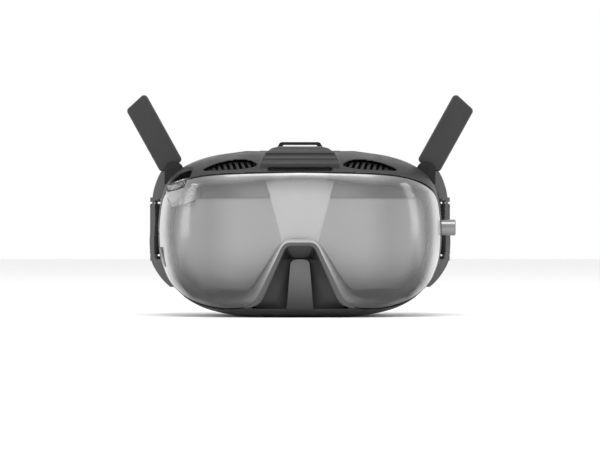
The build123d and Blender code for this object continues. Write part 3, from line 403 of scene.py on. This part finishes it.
def paint(obj, mat):
    """Gives every face of obj this material, without touching a CAD node's mesh."""
    if not obj.material_slots:
        obj.data.materials.append(mat)
    for slot in obj.material_slots:
        slot.link = "OBJECT"
        slot.material = mat


SHELL = surface_material(
    "shell_grained", grey(33), roughness=0.45, grain=0.5, bump=0.35, variation=0.1, specular=0.35,
)
SHELL_BLACK = surface_material(
    "black_grained", grey(16), roughness=0.5, grain=0.4, bump=0.3, variation=0.15, specular=0.3,
)
AERIAL = surface_material(
    "aerial_grained", grey(38), roughness=0.45, grain=0.45, bump=0.3, variation=0.08, specular=0.4,
)
TRIM = surface_material("trim_satin", grey(70), roughness=0.38, grain=0.5, bump=0.1, variation=0.05)
YOKE = surface_material("yoke_satin", grey(88), roughness=0.42, grain=0.45, bump=0.15, variation=0.06)
# The nose cover, mask and visor colours are multiplied by a per-point shade that holds painted light and
# shade.
NOSE = surface_material(
    "nose_satin", grey(150), roughness=0.42, grain=0.5, bump=0.15, variation=0.08, specular=0.3,
    attribute="shade_and_painted_light",
)
MASK = surface_material(
    "mask_satin", 1.0, roughness=0.5, grain=0.8, bump=0.06, variation=0.02, attribute="shade_and_painted_light",
)
RUBBER = surface_material(
    "rubber_matte", grey(24), roughness=0.78, grain=0.3, bump=0.5, variation=0.2, specular=0.35,
)
KNURL = surface_material(
    "knurl_speckled", grey(130), roughness=0.25, grain=1.5, bump=1.0, variation=0.98, spread=0.2,
    metallic=0.8,
)
BEZEL = surface_material("bezel_satin", grey(140), roughness=0.35, grain=0.5, bump=0.1, variation=0.05)
STEEL = surface_material(
    "steel_satin", 0.55, roughness=0.32, grain=0.25, bump=0.1, metallic=1.0, variation=0.06,
    brushed=(1, 1, 8),
)
ALUMINIUM = surface_material(
    "aluminium_blasted", 0.62, roughness=0.38, grain=0.2, bump=0.2, metallic=1.0, variation=0.05,
)
COLLAR = surface_material(
    "collar_satin", grey(135), roughness=0.3, grain=0.3, bump=0.1, metallic=0.8, variation=0.05,
)
BOARD = surface_material(
    "board_lacquer", 0.05, tint=(0.35, 1.0, 0.6), roughness=0.35, grain=1.6, bump=0.2,
    variation=0.3,
)
SCREEN = surface_material(
    "screen_gloss", 0.012, tint=(0.9, 0.9, 1.1), roughness=0.06, spread=0.02, grain=0.4, bump=0.01,
    coat=1.0,
)
SMOKED = surface_material("window_gloss", 0.01, roughness=0.08, spread=0.02, grain=0.4, bump=0.01, coat=1.0)
FOAM = surface_material(
    "foam_cloth", grey(30), roughness=0.92, spread=0.05, grain=0.5, bump=0.9, variation=0.3,
    specular=0.25,
)
# The visor's colour is multiplied by its per-point painted light and shade.
VISOR = clear_material("visor_tint", grey(136), 0.25, 0.14, coat=0.4, attribute="shade_and_painted_light", cover="cover")
LENS = clear_material("lens_clear", 0.55, 0.16, 0.03, coat=1.0)
WEBBING = woven_material("webbing", grey(26), thread=1.1, rib=1.7)

CAD_FINISH = {
    SHELL: ["top_shell", "bottom_shell", "power_button", "link_button"],
    SHELL_BLACK: [
        "visor_gasket", "top_strap_loop", "aerial_base_left", "aerial_base_right",
        "aerial_knuckle_left", "aerial_knuckle_right", "aerial_pin_left", "aerial_pin_right",
        "joystick_ring", "joystick_stem", "side_button_guide", "fan_housing", "fan_rotor",
        "lens_carrier", "lens_plate", "lens_barrel_left", "lens_barrel_right", "vent_grille_left",
        "vent_grille_right", "display_frame", "face_frame", "strap_adjuster",
    ],
    AERIAL: ["aerial_front_left", "aerial_front_right", "aerial_back_left", "aerial_back_right"],
    TRIM: ["side_button", "power_light_ring"],
    BEZEL: ["joystick_base"],
    YOKE: ["yoke_left", "yoke_right"],
    RUBBER: ["port_cover"],
    KNURL: ["joystick_cap"],
    STEEL: [
        "yoke_rod_left", "yoke_rod_right", "yoke_screws",
        "plate_screws", "usb_c_port", "card_slot",
    ],
    COLLAR: ["power_inlet", "inlet_ring"],
    ALUMINIUM: ["heat_sink"],
    BOARD: ["main_board", "port_board", "aerial_element_left", "aerial_element_right"],
    SCREEN: ["display_panel"],
    SMOKED: ["proximity_window"],
    LENS: ["lens_left", "lens_right"],
}
for finish, names in CAD_FINISH.items():
    for name in names:
        paint(NODES[name], finish)


# ---------------------------------------------------------------- visor and mask
# Half of the visor's edge: seen from the front, seen from the side, and round the nose
FRONT_EDGE = [
    (0, 93.4), (46, 92.3), (66, 90.6), (77.5, 87.4), (87.4, 81.0), (94.5, 70), (97, 57), (96, 42),
    (90, 26), (76.5, 13.9), (61, 7.3), (47, 5.6), (36.5, 6.4),
]
SIDE_EDGE = [
    (-58, 99.3), (-42, 90.4), (-30.6, 84.1), (-26.0, 80.7), (-22.9, 76.0), (-21.9, 70.0), (-20.7, 50.0),
    (-19.4, 30.0), (-18.8, 20.0), (-20.4, 15.0), (-23.6, 12.3), (-28.0, 10.0), (-42, 4.2), (-58, -2.4),
]
NOSE_FOOT = [(36.5, 6.4), (31.0, 9.2), (26.6, 14.4)]
NOSE_HEAD = [(12.2, 44.6), (9.6, 47.5), (6.6, 48.4)]
NOSE_TOP = 48.4
NOSE_TOP_POINTS = 12

# The edge is drawn about a hub, with w spread to a length like the heights
SPREAD = 120.0
HUB = np.array([62.0, 50.0])
HIGH_TURN = math.radians(38)
LOW_TURN = math.radians(-40)
EDGE_BLEND = 1.2
FAR = 400

# The mask lies inside the visor, and stops above its lower edge
MASK_INSET = 8.0
MASK_SHRINK = 2.9
MASK_FOOT = 6
MASK_SMOOTHING = 500
MASK_WALL = 1.2

# The hole round the joystick, in metres
STICK_HOLE = 0.0107
STICK_CLEAR = 0.03


def reach_back(y, z, inset=0.0):
    """w of the point of the casing's front that lies at depth y and height z."""
    b = reach_at(station_height(z, inset)) - inset + SIDE_Y
    return np.interp(np.clip((SIDE_Y - y) / b, 0, 1), ROUND_Y[::-1], ROUND_W[::-1])


def around_hub(line):
    """A line as turn and reach about the middle of one half of the visor."""
    d = line - HUB
    turns = np.arctan2(d[:, 1], d[:, 0])
    order = np.argsort(turns)
    return turns[order], np.linalg.norm(d, axis=1)[order]


def seen_in_front(line, inset, lowest):
    """A line of the front view as spread w and height, kept above lowest."""
    line[:, 1] = np.maximum(line[:, 1], lowest)
    return np.stack([across(line[:, 0], line[:, 1], inset) * SPREAD, line[:, 1]], -1)


def seen_from_side(line, inset, lowest):
    """A line of the side view as spread w and height, kept above lowest."""
    line[:, 1] = np.maximum(line[:, 1], lowest)
    return np.stack([reach_back(line[:, 0], line[:, 1], inset) * SPREAD, line[:, 1]], -1)


def nose_cut():
    """The visor's edge round the nose, from its foot up to the middle."""
    foot = spline(NOSE_FOOT, 40)
    head = spline(NOSE_HEAD, 40)
    climb = even([foot[-1], head[0]], 40)[1:-1]
    across_top = even([head[-1], (0, NOSE_TOP)], NOSE_TOP_POINTS)[1:]
    return np.concatenate([foot, climb, head, across_top])


def half_outline(inset):
    """Half the visor's edge from the top middle round to the nose, and the turns of its outer part."""
    lowest = inset + MASK_FOOT if inset else 0
    front = seen_in_front(spline(FRONT_EDGE, 900), inset, lowest)
    rim = seen_from_side(spline(SIDE_EDGE, 600), inset, lowest)
    nose = seen_in_front(nose_cut(), inset, lowest)
    start = np.arctan2(front[0, 1] - HUB[1], front[0, 0] - HUB[0])
    end = np.arctan2(front[-1, 1] - HUB[1], front[-1, 0] - HUB[0])
    turns = np.linspace(start, end, 1500)
    front_reach = np.interp(turns, *around_hub(front))
    rim_turns, rim_reach = around_hub(rim)
    rim_reach = np.interp(turns, rim_turns, rim_reach, left=FAR, right=FAR)
    nearer = np.exp(-front_reach / EDGE_BLEND) + np.exp(-rim_reach / EDGE_BLEND)
    reach = -EDGE_BLEND * np.log(nearer)
    outer = HUB + np.stack([np.cos(turns), np.sin(turns)], -1) * reach[:, None]
    outer[0] = front[0]
    return np.concatenate([outer, nose[1:]]), turns


def half_patch(shrink, inset, columns, rows):
    """Points of half the visor's area, in spread w and height, its edge moved in by shrink."""
    outline, turns = half_outline(inset)
    flow = np.gradient(outline, axis=0)
    flow /= np.maximum(np.linalg.norm(flow, axis=1), 1e-9)[:, None]
    moved = outline + shrink * np.stack([flow[:, 1], -flow[:, 0]], -1)
    moved[0, 0] = moved[-1, 0] = 0
    moved[-NOSE_TOP_POINTS:, 1] = outline[-NOSE_TOP_POINTS:, 1] + shrink
    for _ in range(MASK_SMOOTHING if inset else 0):
        moved[1:-1] = (moved[:-2] + 2 * moved[1:-1] + moved[2:]) / 4
    high = np.argmin(np.abs(turns - HIGH_TURN))
    low = np.argmin(np.abs(turns - LOW_TURN))
    top = even(moved[: high + 1], columns)
    side = even(moved[high : low + 1][::-1], rows)
    bottom = even(moved[low:][::-1], columns)
    centre = even([bottom[0], top[0]], rows)
    return coons(top, bottom, centre, side)


def whole_patch(shrink, inset, columns, rows):
    """Both halves as one grid of w and height."""
    full = mirrored_columns(half_patch(shrink, inset, columns, rows))
    return full[..., 0] / SPREAD, full[..., 1]


def shade_points(obj, name, values):
    """Stores one grey value per point, for a material to read."""
    colours = np.repeat(np.asarray(values, float).reshape(-1, 1), 4, axis=1)
    colours[:, 3] = 1
    obj.data.color_attributes.new(name, "FLOAT_COLOR", "POINT").data.foreach_set("color", colours.ravel())


def stick_frame():
    """The joystick's centre and outward axis, from its cap's place in the frame."""
    joint = next(j for j in frame["record"]["behaviour"]["joints"] if j["name"] == "joystick_press")
    low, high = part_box("joystick_cap")
    return (Vector(low) + Vector(high)) / 2, -Vector(joint["axis"]).normalized()


def plug(centre, axis, radius, depth, height):
    """A round tool along an axis, for cutting."""
    bpy.ops.mesh.primitive_cylinder_add(vertices=96, radius=radius, depth=depth + height)
    tool = bpy.context.object
    tool.rotation_mode = "QUATERNION"
    tool.rotation_quaternion = axis.to_track_quat("Z", "Y")
    tool.location = centre + axis * (height - depth) / 2
    bpy.context.view_layer.update()
    return tool


def cut_for_stick(obj, depth):
    """Opens the joystick's hole in a skin, reaching that far behind the cap's middle."""
    centre, axis = stick_frame()
    cut(obj, plug(centre, axis, STICK_HOLE, depth, STICK_CLEAR))


def visor_cover(w):
    """How closed the visor looks: see-through in the middle, full along its edge and on its sides."""
    rows, columns = w.shape
    down = np.minimum(np.arange(rows), rows - 1 - np.arange(rows))[:, None]
    along = np.minimum(np.arange(columns), columns - 1 - np.arange(columns))[None, :]
    edge = np.minimum(down * 1.3, along * 0.9)
    cover = 0.25 + 0.75 * (1 - step(edge, 0.5, 7.0))
    return np.maximum(cover, step(np.abs(w), 0.62, 0.74))


def visor_painted_light(x, z):
    """The visor's painted light and shade: painted shade at its foot and upper corners, painted highlights on
    its top rim, sides and bridge.
    """
    ax = np.abs(x)
    # Painted shade along the foot, lifting by z 40, and a painted highlight line along the top rim.
    shade_and_painted_light = 0.13 + 0.3 * step(z, 8.6, 10.8) + 0.57 * step(z, 10, 40) + 0.5 * step(z, 92.4, 93.2)
    # Painted shadow in the upper corners.
    shade_and_painted_light = shade_and_painted_light * (1 - 0.6 * step(ax, 40, 70) * step(z, 80, 90))
    # Painted highlights: an upright strip on each side, and a lighter band over the bridge.
    side = step(ax, 73, 79) * step(z, 18, 36) * (1 - step(z, 80, 87))
    bridge = (1 - step(ax, 12, 22)) * (1 - 0.6 * step(z, 54, 60) * (1 - step(z, 84, 88)))
    return shade_and_painted_light * (1 + 0.3 * side + 0.35 * bridge)


def make_visor():
    """The one-piece tinted visor, with its bevelled edge and the joystick's hole."""
    w, z = whole_patch(0.0, 0.0, 110, 64)
    outer = casing(w, z)
    obj = mesh("visor_lens", outer.reshape(-1, 3), grid_faces(*w.shape))
    shade_points(obj, "cover", visor_cover(w))
    # The visor's painted light and shade, stored per point for its material.
    shade_points(obj, "shade_and_painted_light", visor_painted_light(outer[..., 0], z))
    modifier(obj, "SOLIDIFY", thickness=VISOR_WALL * MM, offset=-1.0, use_even_offset=True)
    modifier(obj, "BEVEL", width=0.6 * MM, segments=3, limit_method="ANGLE", angle_limit=math.radians(50))
    bake_modifiers(obj)
    cut_for_stick(obj, 0.012)
    shade_smooth(obj.data)
    obj.data.set_sharp_from_angle(angle=math.radians(40))
    paint(obj, VISOR)
    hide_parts("visor")
    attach(obj, "casing")


# The mask's sunk band starts at this height; then the shades of its field, of its band darkened with painted
# shade, and of its raised middle lightened with painted light
BAND_Z = 77.0
MASK_FIELD = 0.47
MASK_BAND_PAINTED_SHADE = 0.34
MASK_MIDDLE_PAINTED_LIGHT = 0.66


def mask_relief(x, z):
    """How deep the mask lies behind the visor, and its shade with painted light and shade, at x, z."""
    ax = np.abs(x)
    plateau_edge = np.interp(z, [46, 77, 97], [10.5, 19.0, 24.5])
    plateau = 1 - step(ax, plateau_edge - 0.6, plateau_edge + 0.6)
    corner = np.hypot(np.maximum(ax - 73.5, 0), np.maximum(BAND_Z + 6.5 - z, 0))
    band = step(z, BAND_Z - 0.5, BAND_Z + 0.5) * (1 - step(corner, 6.0, 7.0)) * (1 - plateau)
    sink = MASK_INSET + 2.0 * band - 1.5 * plateau
    # Painted highlight: an upright lighter strip on each side.
    side_painted_highlight = step(ax, 74, 81)
    # Painted shade: the field and the band darken outwards.
    field = MASK_FIELD - 0.2 * step(ax, 40, 62) + 0.5 * side_painted_highlight
    upper = MASK_BAND_PAINTED_SHADE - 0.3 * step(ax, 26, 56) + 0.7 * side_painted_highlight
    shade_and_painted_light = field * (1 - band) + upper * band
    # Painted light on the raised middle, and painted shade towards the bottom.
    shade_and_painted_light = (shade_and_painted_light * (1 - plateau) + MASK_MIDDLE_PAINTED_LIGHT * plateau) * (0.05 + 0.93 * step(z, 2, 50))
    return sink, shade_and_painted_light


def make_mask():
    """The faceted mask behind the visor."""
    w, z = whole_patch(MASK_SHRINK, MASK_INSET, 150, 100)
    flat = casing(w, z, MASK_INSET)
    sink, shade_and_painted_light = mask_relief(flat[..., 0], z)
    points = np.zeros_like(flat)
    for level in np.unique(np.round(sink, 2)):
        pick = np.isclose(np.round(sink, 2), level)
        points[pick] = casing(w[pick], z[pick], level)
    obj = mesh("face_mask", points.reshape(-1, 3), grid_faces(*w.shape))
    # The mask's shade with painted light and shade, stored per point for its material.
    shade_points(obj, "shade_and_painted_light", shade_and_painted_light)
    modifier(obj, "SOLIDIFY", thickness=MASK_WALL * MM, offset=-1.0)
    bake_modifiers(obj)
    cut_for_stick(obj, 0.014)
    paint(obj, MASK)
    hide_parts("inner_mask")
    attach(obj, "casing")


# ---------------------------------------------------------------- nose
TRIM_OUTER = [(36.5, 6.5), (31.0, 9.3), (26.7, 14.6)]
TRIM_INNER = [(33.0, 6.2), (28.4, 7.6), (25.3, 10.2), (22.8, 14.5)]
TRIM_HEAD = [(9.8, 43.8), (7.9, 45.6), (5.6, 46.2)]
TRIM_TOP = 46.2

# The rim's cross-section: share of the way inwards, and depth behind the visor's surface
TRIM_PROFILE = [
    (0.0, 5.0), (0.0, 0.5), (0.06, 0.12), (0.2, -0.05), (0.5, -0.1), (0.8, 0.0), (0.94, 0.25), (1.0, 0.7),
    (1.0, 5.0),
]

# The cover inside the rim: depth of its floor, top of its middle column, top and rise of the facet above
RECESS_Y = -46.5
COLUMN_TOP = 37.6
FACET_TOP = 46.0
FACET_RISE = 8.4


def nose_line(foot, head, top_z):
    """One edge of the nose rim in the front view, from its foot up to the middle."""
    low = spline(foot, 40)
    high = spline(head, 40)
    climb = even([low[-1], high[0]], 50)[1:-1]
    return np.concatenate([low, climb, high, even([high[-1], (0, top_z)], 14)[1:]])


def make_nose_trim():
    """The raised rim round the nose."""
    outer = even(nose_line(TRIM_OUTER, NOSE_HEAD, NOSE_TOP), 130) + [0.0, -0.12]
    inner = even(nose_line(TRIM_INNER, TRIM_HEAD, TRIM_TOP), 130)
    outer = np.concatenate([outer, outer[-2::-1] * [-1, 1]])
    inner = np.concatenate([inner, inner[-2::-1] * [-1, 1]])
    rows = []
    for share, inset in TRIM_PROFILE:
        line = outer * (1 - share) + inner * share
        w = across(line[:, 0], line[:, 1])
        top = casing(w, line[:, 1])
        top[:, 1] += inset
        rows.append(top)
    faces = grid_faces(len(rows), len(outer), close_rows=True)
    obj = mesh("nose_rim", np.array(rows).reshape(-1, 3), faces, sharp=60)
    paint(obj, TRIM)
    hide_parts("nose_trim")
    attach(obj, "casing")


def nose_row(z, foot_z, edge):
    """Half of the nose cover's line at height z: its points, and their shades with painted light and shade.
    """
    column = float(np.interp(z, [foot_z, 35.0, 37.0, COLUMN_TOP], [8.6, 6.2, 4.6, 0.5]))
    facet = float(np.interp(z, [COLUMN_TOP, FACET_TOP], [4.3, 8.8]))
    middle = facet if z > COLUMN_TOP else column
    shares = np.concatenate([np.linspace(0, 1, 22), [1.01], 1 + np.linspace(0.06, 1, 26)])
    in_middle = shares <= 1
    x = np.where(in_middle, shares * middle, middle + (edge - middle) * np.clip(shares - 1, 0, 1))
    rim = casing(across(x, np.full_like(x, z)), np.full_like(x, z))[:, 1] + 3.2
    climb = np.clip((x - middle) / (edge - middle), 0, 1)
    wall = RECESS_Y + (rim - RECESS_Y) * climb
    if z > COLUMN_TOP:
        rise = (z - COLUMN_TOP) / FACET_RISE
        slope = RECESS_Y + (rim - RECESS_Y) * rise
        depth = np.where(in_middle, slope, np.minimum(wall, slope))
        # Painted light: the facet lightens upwards; painted shade on the walls beside it.
        shade_and_painted_light = np.where(in_middle, 0.13 + 0.05 * rise, 0.07)
    else:
        stand = np.interp(z, [foot_z, 20, COLUMN_TOP], [-54.5, -51.5, -49.0])
        depth = np.where(in_middle, stand, wall)
        # Painted light: the column lightens upwards; painted shade on the side walls, deepest towards the
        # rim.
        shade_and_painted_light = np.where(in_middle, 0.06 + 0.5 * step(z, 4, 34), 0.05 + 0.09 * (1 - climb))
    return np.stack([x, depth, np.full_like(x, z)], -1), shade_and_painted_light


def make_nose_cover():
    """The dark cover inside the rim, with its raised column and the facet above it."""
    inner = even(nose_line(TRIM_INNER[1:], TRIM_HEAD, TRIM_TOP), 90)
    foot_z = float(inner[0, 1]) - 2.0
    rows = []
    shades_with_painted_light = []
    for z in np.linspace(foot_z, FACET_TOP, 120):
        edge = float(np.interp(z, inner[:, 1], inner[:, 0])) + 0.7
        row, shade_and_painted_light = nose_row(z, foot_z, edge)
        rows.append(row)
        shades_with_painted_light.append(shade_and_painted_light)
    grid = mirrored_columns(np.array(rows))
    shade = np.array(shades_with_painted_light)
    shade = np.concatenate([shade[:, :0:-1], shade], axis=1)
    obj = mesh("nose_bridge", grid.reshape(-1, 3), grid_faces(*shade.shape))
    # The nose cover's painted light and shade, stored per point for its material.
    shade_points(obj, "shade_and_painted_light", shade)
    modifier(obj, "SOLIDIFY", thickness=1.4 * MM, offset=-1.0)
    bake_modifiers(obj)
    obj.data.set_sharp_from_angle(angle=math.radians(35))
    paint(obj, NOSE)
    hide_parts("nose_cover")
    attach(obj, "casing")


# ---------------------------------------------------------------- casing shells
SHELL_VOXEL = 0.62
SHELL_SMOOTHING = 8


def flowing(points):
    """Points of the casing moved from its straight-sided sections to the smooth ones."""
    z = np.clip(points[:, 2], 0, TOP)
    heights = [s[0] for s in STATIONS]
    wide = half_at(z) / np.interp(z, heights, [s[1] for s in STATIONS])
    deep = (reach_at(z) + SIDE_Y) / (np.interp(z, heights, [s[2] for s in STATIONS]) + SIDE_Y)
    moved = points.copy()
    moved[:, 0] *= wide
    ahead = SIDE_Y - points[:, 1]
    moved[:, 1] = np.where(ahead > 0, SIDE_Y - ahead * deep, points[:, 1])
    return moved


def make_shell(name):
    """A casing half with flowing sides and softened edges."""
    source = NODES[name]
    obj = bpy.data.objects.new(name + "_moulded", source.data.copy())
    obj.matrix_world = source.matrix_world
    bpy.context.scene.collection.objects.link(obj)
    modifier(obj, "REMESH", mode="VOXEL", voxel_size=SHELL_VOXEL * MM, adaptivity=0.0)
    modifier(obj, "SMOOTH", factor=0.5, iterations=SHELL_SMOOTHING)
    bake_modifiers(obj)
    place = np.zeros(len(obj.data.vertices) * 3)
    obj.data.vertices.foreach_get("co", place)
    world = np.array(obj.matrix_world)
    points = place.reshape(-1, 3) @ world[:3, :3].T + world[:3, 3]
    obj.matrix_world.identity()
    obj.data.vertices.foreach_set("co", (flowing(points / MM) * MM).ravel())
    shade_smooth(obj.data)
    paint(obj, SHELL)
    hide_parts(name)
    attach(obj, "casing")


# ---------------------------------------------------------------- cushion
CUSHION_OUT = [
    (0, 102.5), (34, 101), (62.4, 92.9), (78.9, 76.4), (83.5, 56), (78.9, 33.6), (64.6, 14.2), (46, 5),
    (33, 5.6), (23.5, 16), (17, 31), (9, 41.5), (0, 44),
]
CUSHION_IN = [
    (0, 87), (34, 85.5), (56, 78.5), (66.5, 66), (68, 54), (65, 40), (56, 27), (46, 21), (37.5, 22),
    (31.5, 29.5), (26, 39), (16, 50.5), (0, 55.5),
]
CUSHION_THICK = 11.0
CUSHION_ROUND = 420
CUSHION_SECTION = 40
PUCKERS = 46
PUCKER_DEPTH = 0.12


def round_ring(points, count):
    """A closed line from its half, mirrored."""
    mirrored = [(-x, z) for x, z in points[-2:0:-1]]
    return spline(points + mirrored, count, closed=True)


def brow_y(x, radius):
    """Depth of the upright curve round the head, of that radius, at x."""
    return BROW_Y + BROW_R - np.sqrt(radius**2 - x**2)


def make_cushion():
    """The foam face cushion: a rounded ring with a seam groove and fine puckers."""
    count = CUSHION_ROUND
    outer = round_ring(CUSHION_OUT, count)
    inner = round_ring(CUSHION_IN, count)
    section = []
    for k in range(CUSHION_SECTION):
        a = 2 * math.pi * k / CUSHION_SECTION
        u = 0.5 + 0.5 * np.sign(math.cos(a)) * abs(math.cos(a)) ** 0.55
        v = 0.5 + 0.5 * np.sign(math.sin(a)) * abs(math.sin(a)) ** 0.7
        section.append((u, v))
    rows = []
    ripple = np.sin(np.arange(count) * 2 * math.pi / count * PUCKERS) * PUCKER_DEPTH
    for u, v in section:
        flat = outer * (1 - u) + inner * u
        low = brow_y(flat[:, 0], BROW_R) + 0.3
        high = brow_y(flat[:, 0], BROW_R - CUSHION_THICK)
        crown = 0.5 * (1 - abs(2 * u - 1) ** 2.2)
        depth = low + (high - low) * v * (0.82 + 0.36 * crown)
        groove = 0.7 * math.exp(-((v - 0.42) / 0.05) ** 2)
        centre = (outer + inner) / 2
        pull = (centre - flat) / np.maximum(np.linalg.norm(centre - flat, axis=1), 0.1)[:, None]
        flat = flat + pull * (groove + ripple[:, None] * (v > 0.3))
        rows.append(np.stack([flat[:, 0], depth, flat[:, 1]], -1))
    points = np.array(rows)
    obj = mesh("cushion_foam", points.reshape(-1, 3), grid_faces(CUSHION_SECTION, count, True, True))
    paint(obj, FOAM)
    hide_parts("face_cushion")
    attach(obj, "casing")


# ---------------------------------------------------------------- headband
ROD = (97.2, 44.0)
ROD_R = 1.6
STRAP_Z = 57.0
STRAP_HALF = 17.0
STRAP_THICK = 2.2
STRAP_IN = 9.0
STRAP_SIDE = 84.0
STRAP_FOLD = 24.0
HEAD_Y = 196.0
HEAD_TURN = 58.0
HEAD_PULL = 46.0


def band_path():
    """The headband's centre line from the right fold round the head to the left fold."""
    lean = math.radians(STRAP_IN)
    away = np.array([-math.sin(lean), math.cos(lean)])
    square = np.array([math.cos(lean), math.sin(lean)])
    rod = np.array(ROD)
    r = ROD_R + 0.15 + STRAP_THICK / 2
    start = rod + square * r
    fold_end = start + away * STRAP_FOLD - square * STRAP_THICK
    inner = np.linspace(fold_end, rod - square * r, 24)
    turns = np.linspace(math.pi, 0, 24)[1:]
    bend = [rod + r * (math.cos(a) * square - math.sin(a) * away) for a in turns]
    straight = np.linspace(start, start + away * STRAP_SIDE, 60)[1:]
    end = straight[-1]
    u = np.linspace(0, 1, 90)[1:, None]
    p1 = end + away * HEAD_PULL
    p2 = np.array([HEAD_TURN, HEAD_Y])
    p3 = np.array([0, HEAD_Y])
    back = (1 - u) ** 3 * end + 3 * (1 - u) ** 2 * u * p1 + 3 * (1 - u) * u**2 * p2 + u**3 * p3
    half = np.concatenate([inner, bend, straight, back])
    mirrored = half[-2::-1] * [-1, 1]
    return np.concatenate([half, mirrored])


def make_headband():
    """The ribbed elastic headband, one sheet folded round both rods."""
    path = even(band_path(), 620)
    flow = np.gradient(path, axis=0)
    flow /= np.linalg.norm(flow, axis=1)[:, None]
    side = np.stack([flow[:, 1], -flow[:, 0]], -1)
    along = np.concatenate([[0], np.cumsum(np.linalg.norm(np.diff(path, axis=0), axis=1))])
    ring = []
    edge = STRAP_THICK / 2
    for k in range(49):
        h = -1 + 2 * k / 48
        rib = 0.10 * math.cos(h * 22 * math.pi)
        selvedge = 0.12 * math.exp(-((abs(h) - 0.93) / 0.03) ** 2)
        ring.append((h * STRAP_HALF, (edge - 0.25 + rib + selvedge) * (1 - max(abs(h) - 0.975, 0) * 30)))
    loop = ring + [(h, -t) for h, t in ring[::-1]]
    rows = []
    weave = []
    for h, t in loop:
        rows.append(np.concatenate([path + side * t, np.full((len(path), 1), STRAP_Z + h)], axis=1))
        weave.append(np.stack([along, np.full(len(path), h), np.full(len(path), t)], -1))
    faces = grid_faces(len(loop), len(path), close_rows=True)
    obj = mesh("headband_webbing", np.array(rows).reshape(-1, 3), faces)
    place = obj.data.attributes.new("weave", "FLOAT_VECTOR", "POINT")
    place.data.foreach_set("vector", np.array(weave).ravel())
    paint(obj, WEBBING)
    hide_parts("headband")
    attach(obj, "casing")


# ---------------------------------------------------------------- stage
FLOOR_HALF = 4000
FLOOR_Z = -0.2
CAMERA_AWAY = 2.4
CAMERA_HEIGHT = 0.0597
FOCAL_LENGTH = 218.0


def area_light(name, place, target, size, power, size_y):
    """One oblong lamp turned towards its target."""
    data = bpy.data.lights.new(name, "AREA")
    data.energy = power
    data.shape = "RECTANGLE"
    data.size = size
    data.size_y = size_y
    lamp = bpy.data.objects.new(name, data)
    lamp.location = place
    lamp.rotation_euler = (Vector(target) - Vector(place)).to_track_quat("-Z", "Y").to_euler()
    bpy.context.scene.collection.objects.link(lamp)


def make_stage():
    """A white studio with a pale floor, one lamp above and one at each side."""
    world = bpy.data.worlds.new("studio")
    world.use_nodes = True
    world.node_tree.nodes["Background"].inputs["Color"].default_value = (1, 1, 1, 1)
    world.node_tree.nodes["Background"].inputs["Strength"].default_value = 1.0
    bpy.context.scene.world = world
    corners = [(x * FLOOR_HALF, y * FLOOR_HALF, FLOOR_Z) for x, y in ((-1, -1), (1, -1), (1, 1), (-1, 1))]
    floor = mesh("floor", corners, [(0, 1, 2, 3)])
    pale = surface_material("floor_pale", 0.86, variation=0.01, roughness=0.7, grain=20, bump=0.0, cloud=400)
    paint(floor, pale)
    middle = (0, 0, 0.06)
    area_light("key", (0, -0.5, 1.5), middle, 1.2, 12, 0.6)
    area_light("side_left", (1.1, -0.35, 0.1), middle, 0.3, 14, 1.6)
    area_light("side_right", (-1.1, -0.35, 0.1), middle, 0.3, 14, 1.6)


def make_camera():
    """A long lens, level and straight in front."""
    data = bpy.data.cameras.new("camera")
    data.sensor_width = 36.0
    data.lens = FOCAL_LENGTH
    camera = bpy.data.objects.new("camera", data)
    camera.location = (0.0, -CAMERA_AWAY, CAMERA_HEIGHT)
    camera.rotation_euler = (math.radians(90), 0, 0)
    bpy.context.scene.collection.objects.link(camera)
    bpy.context.scene.camera = camera
    bpy.context.scene.view_settings.view_transform = "Standard"


make_camera()
make_visor()
make_mask()
make_nose_trim()
make_nose_cover()
make_shell("top_shell")
make_shell("bottom_shell")
make_cushion()
make_headband()
make_stage()
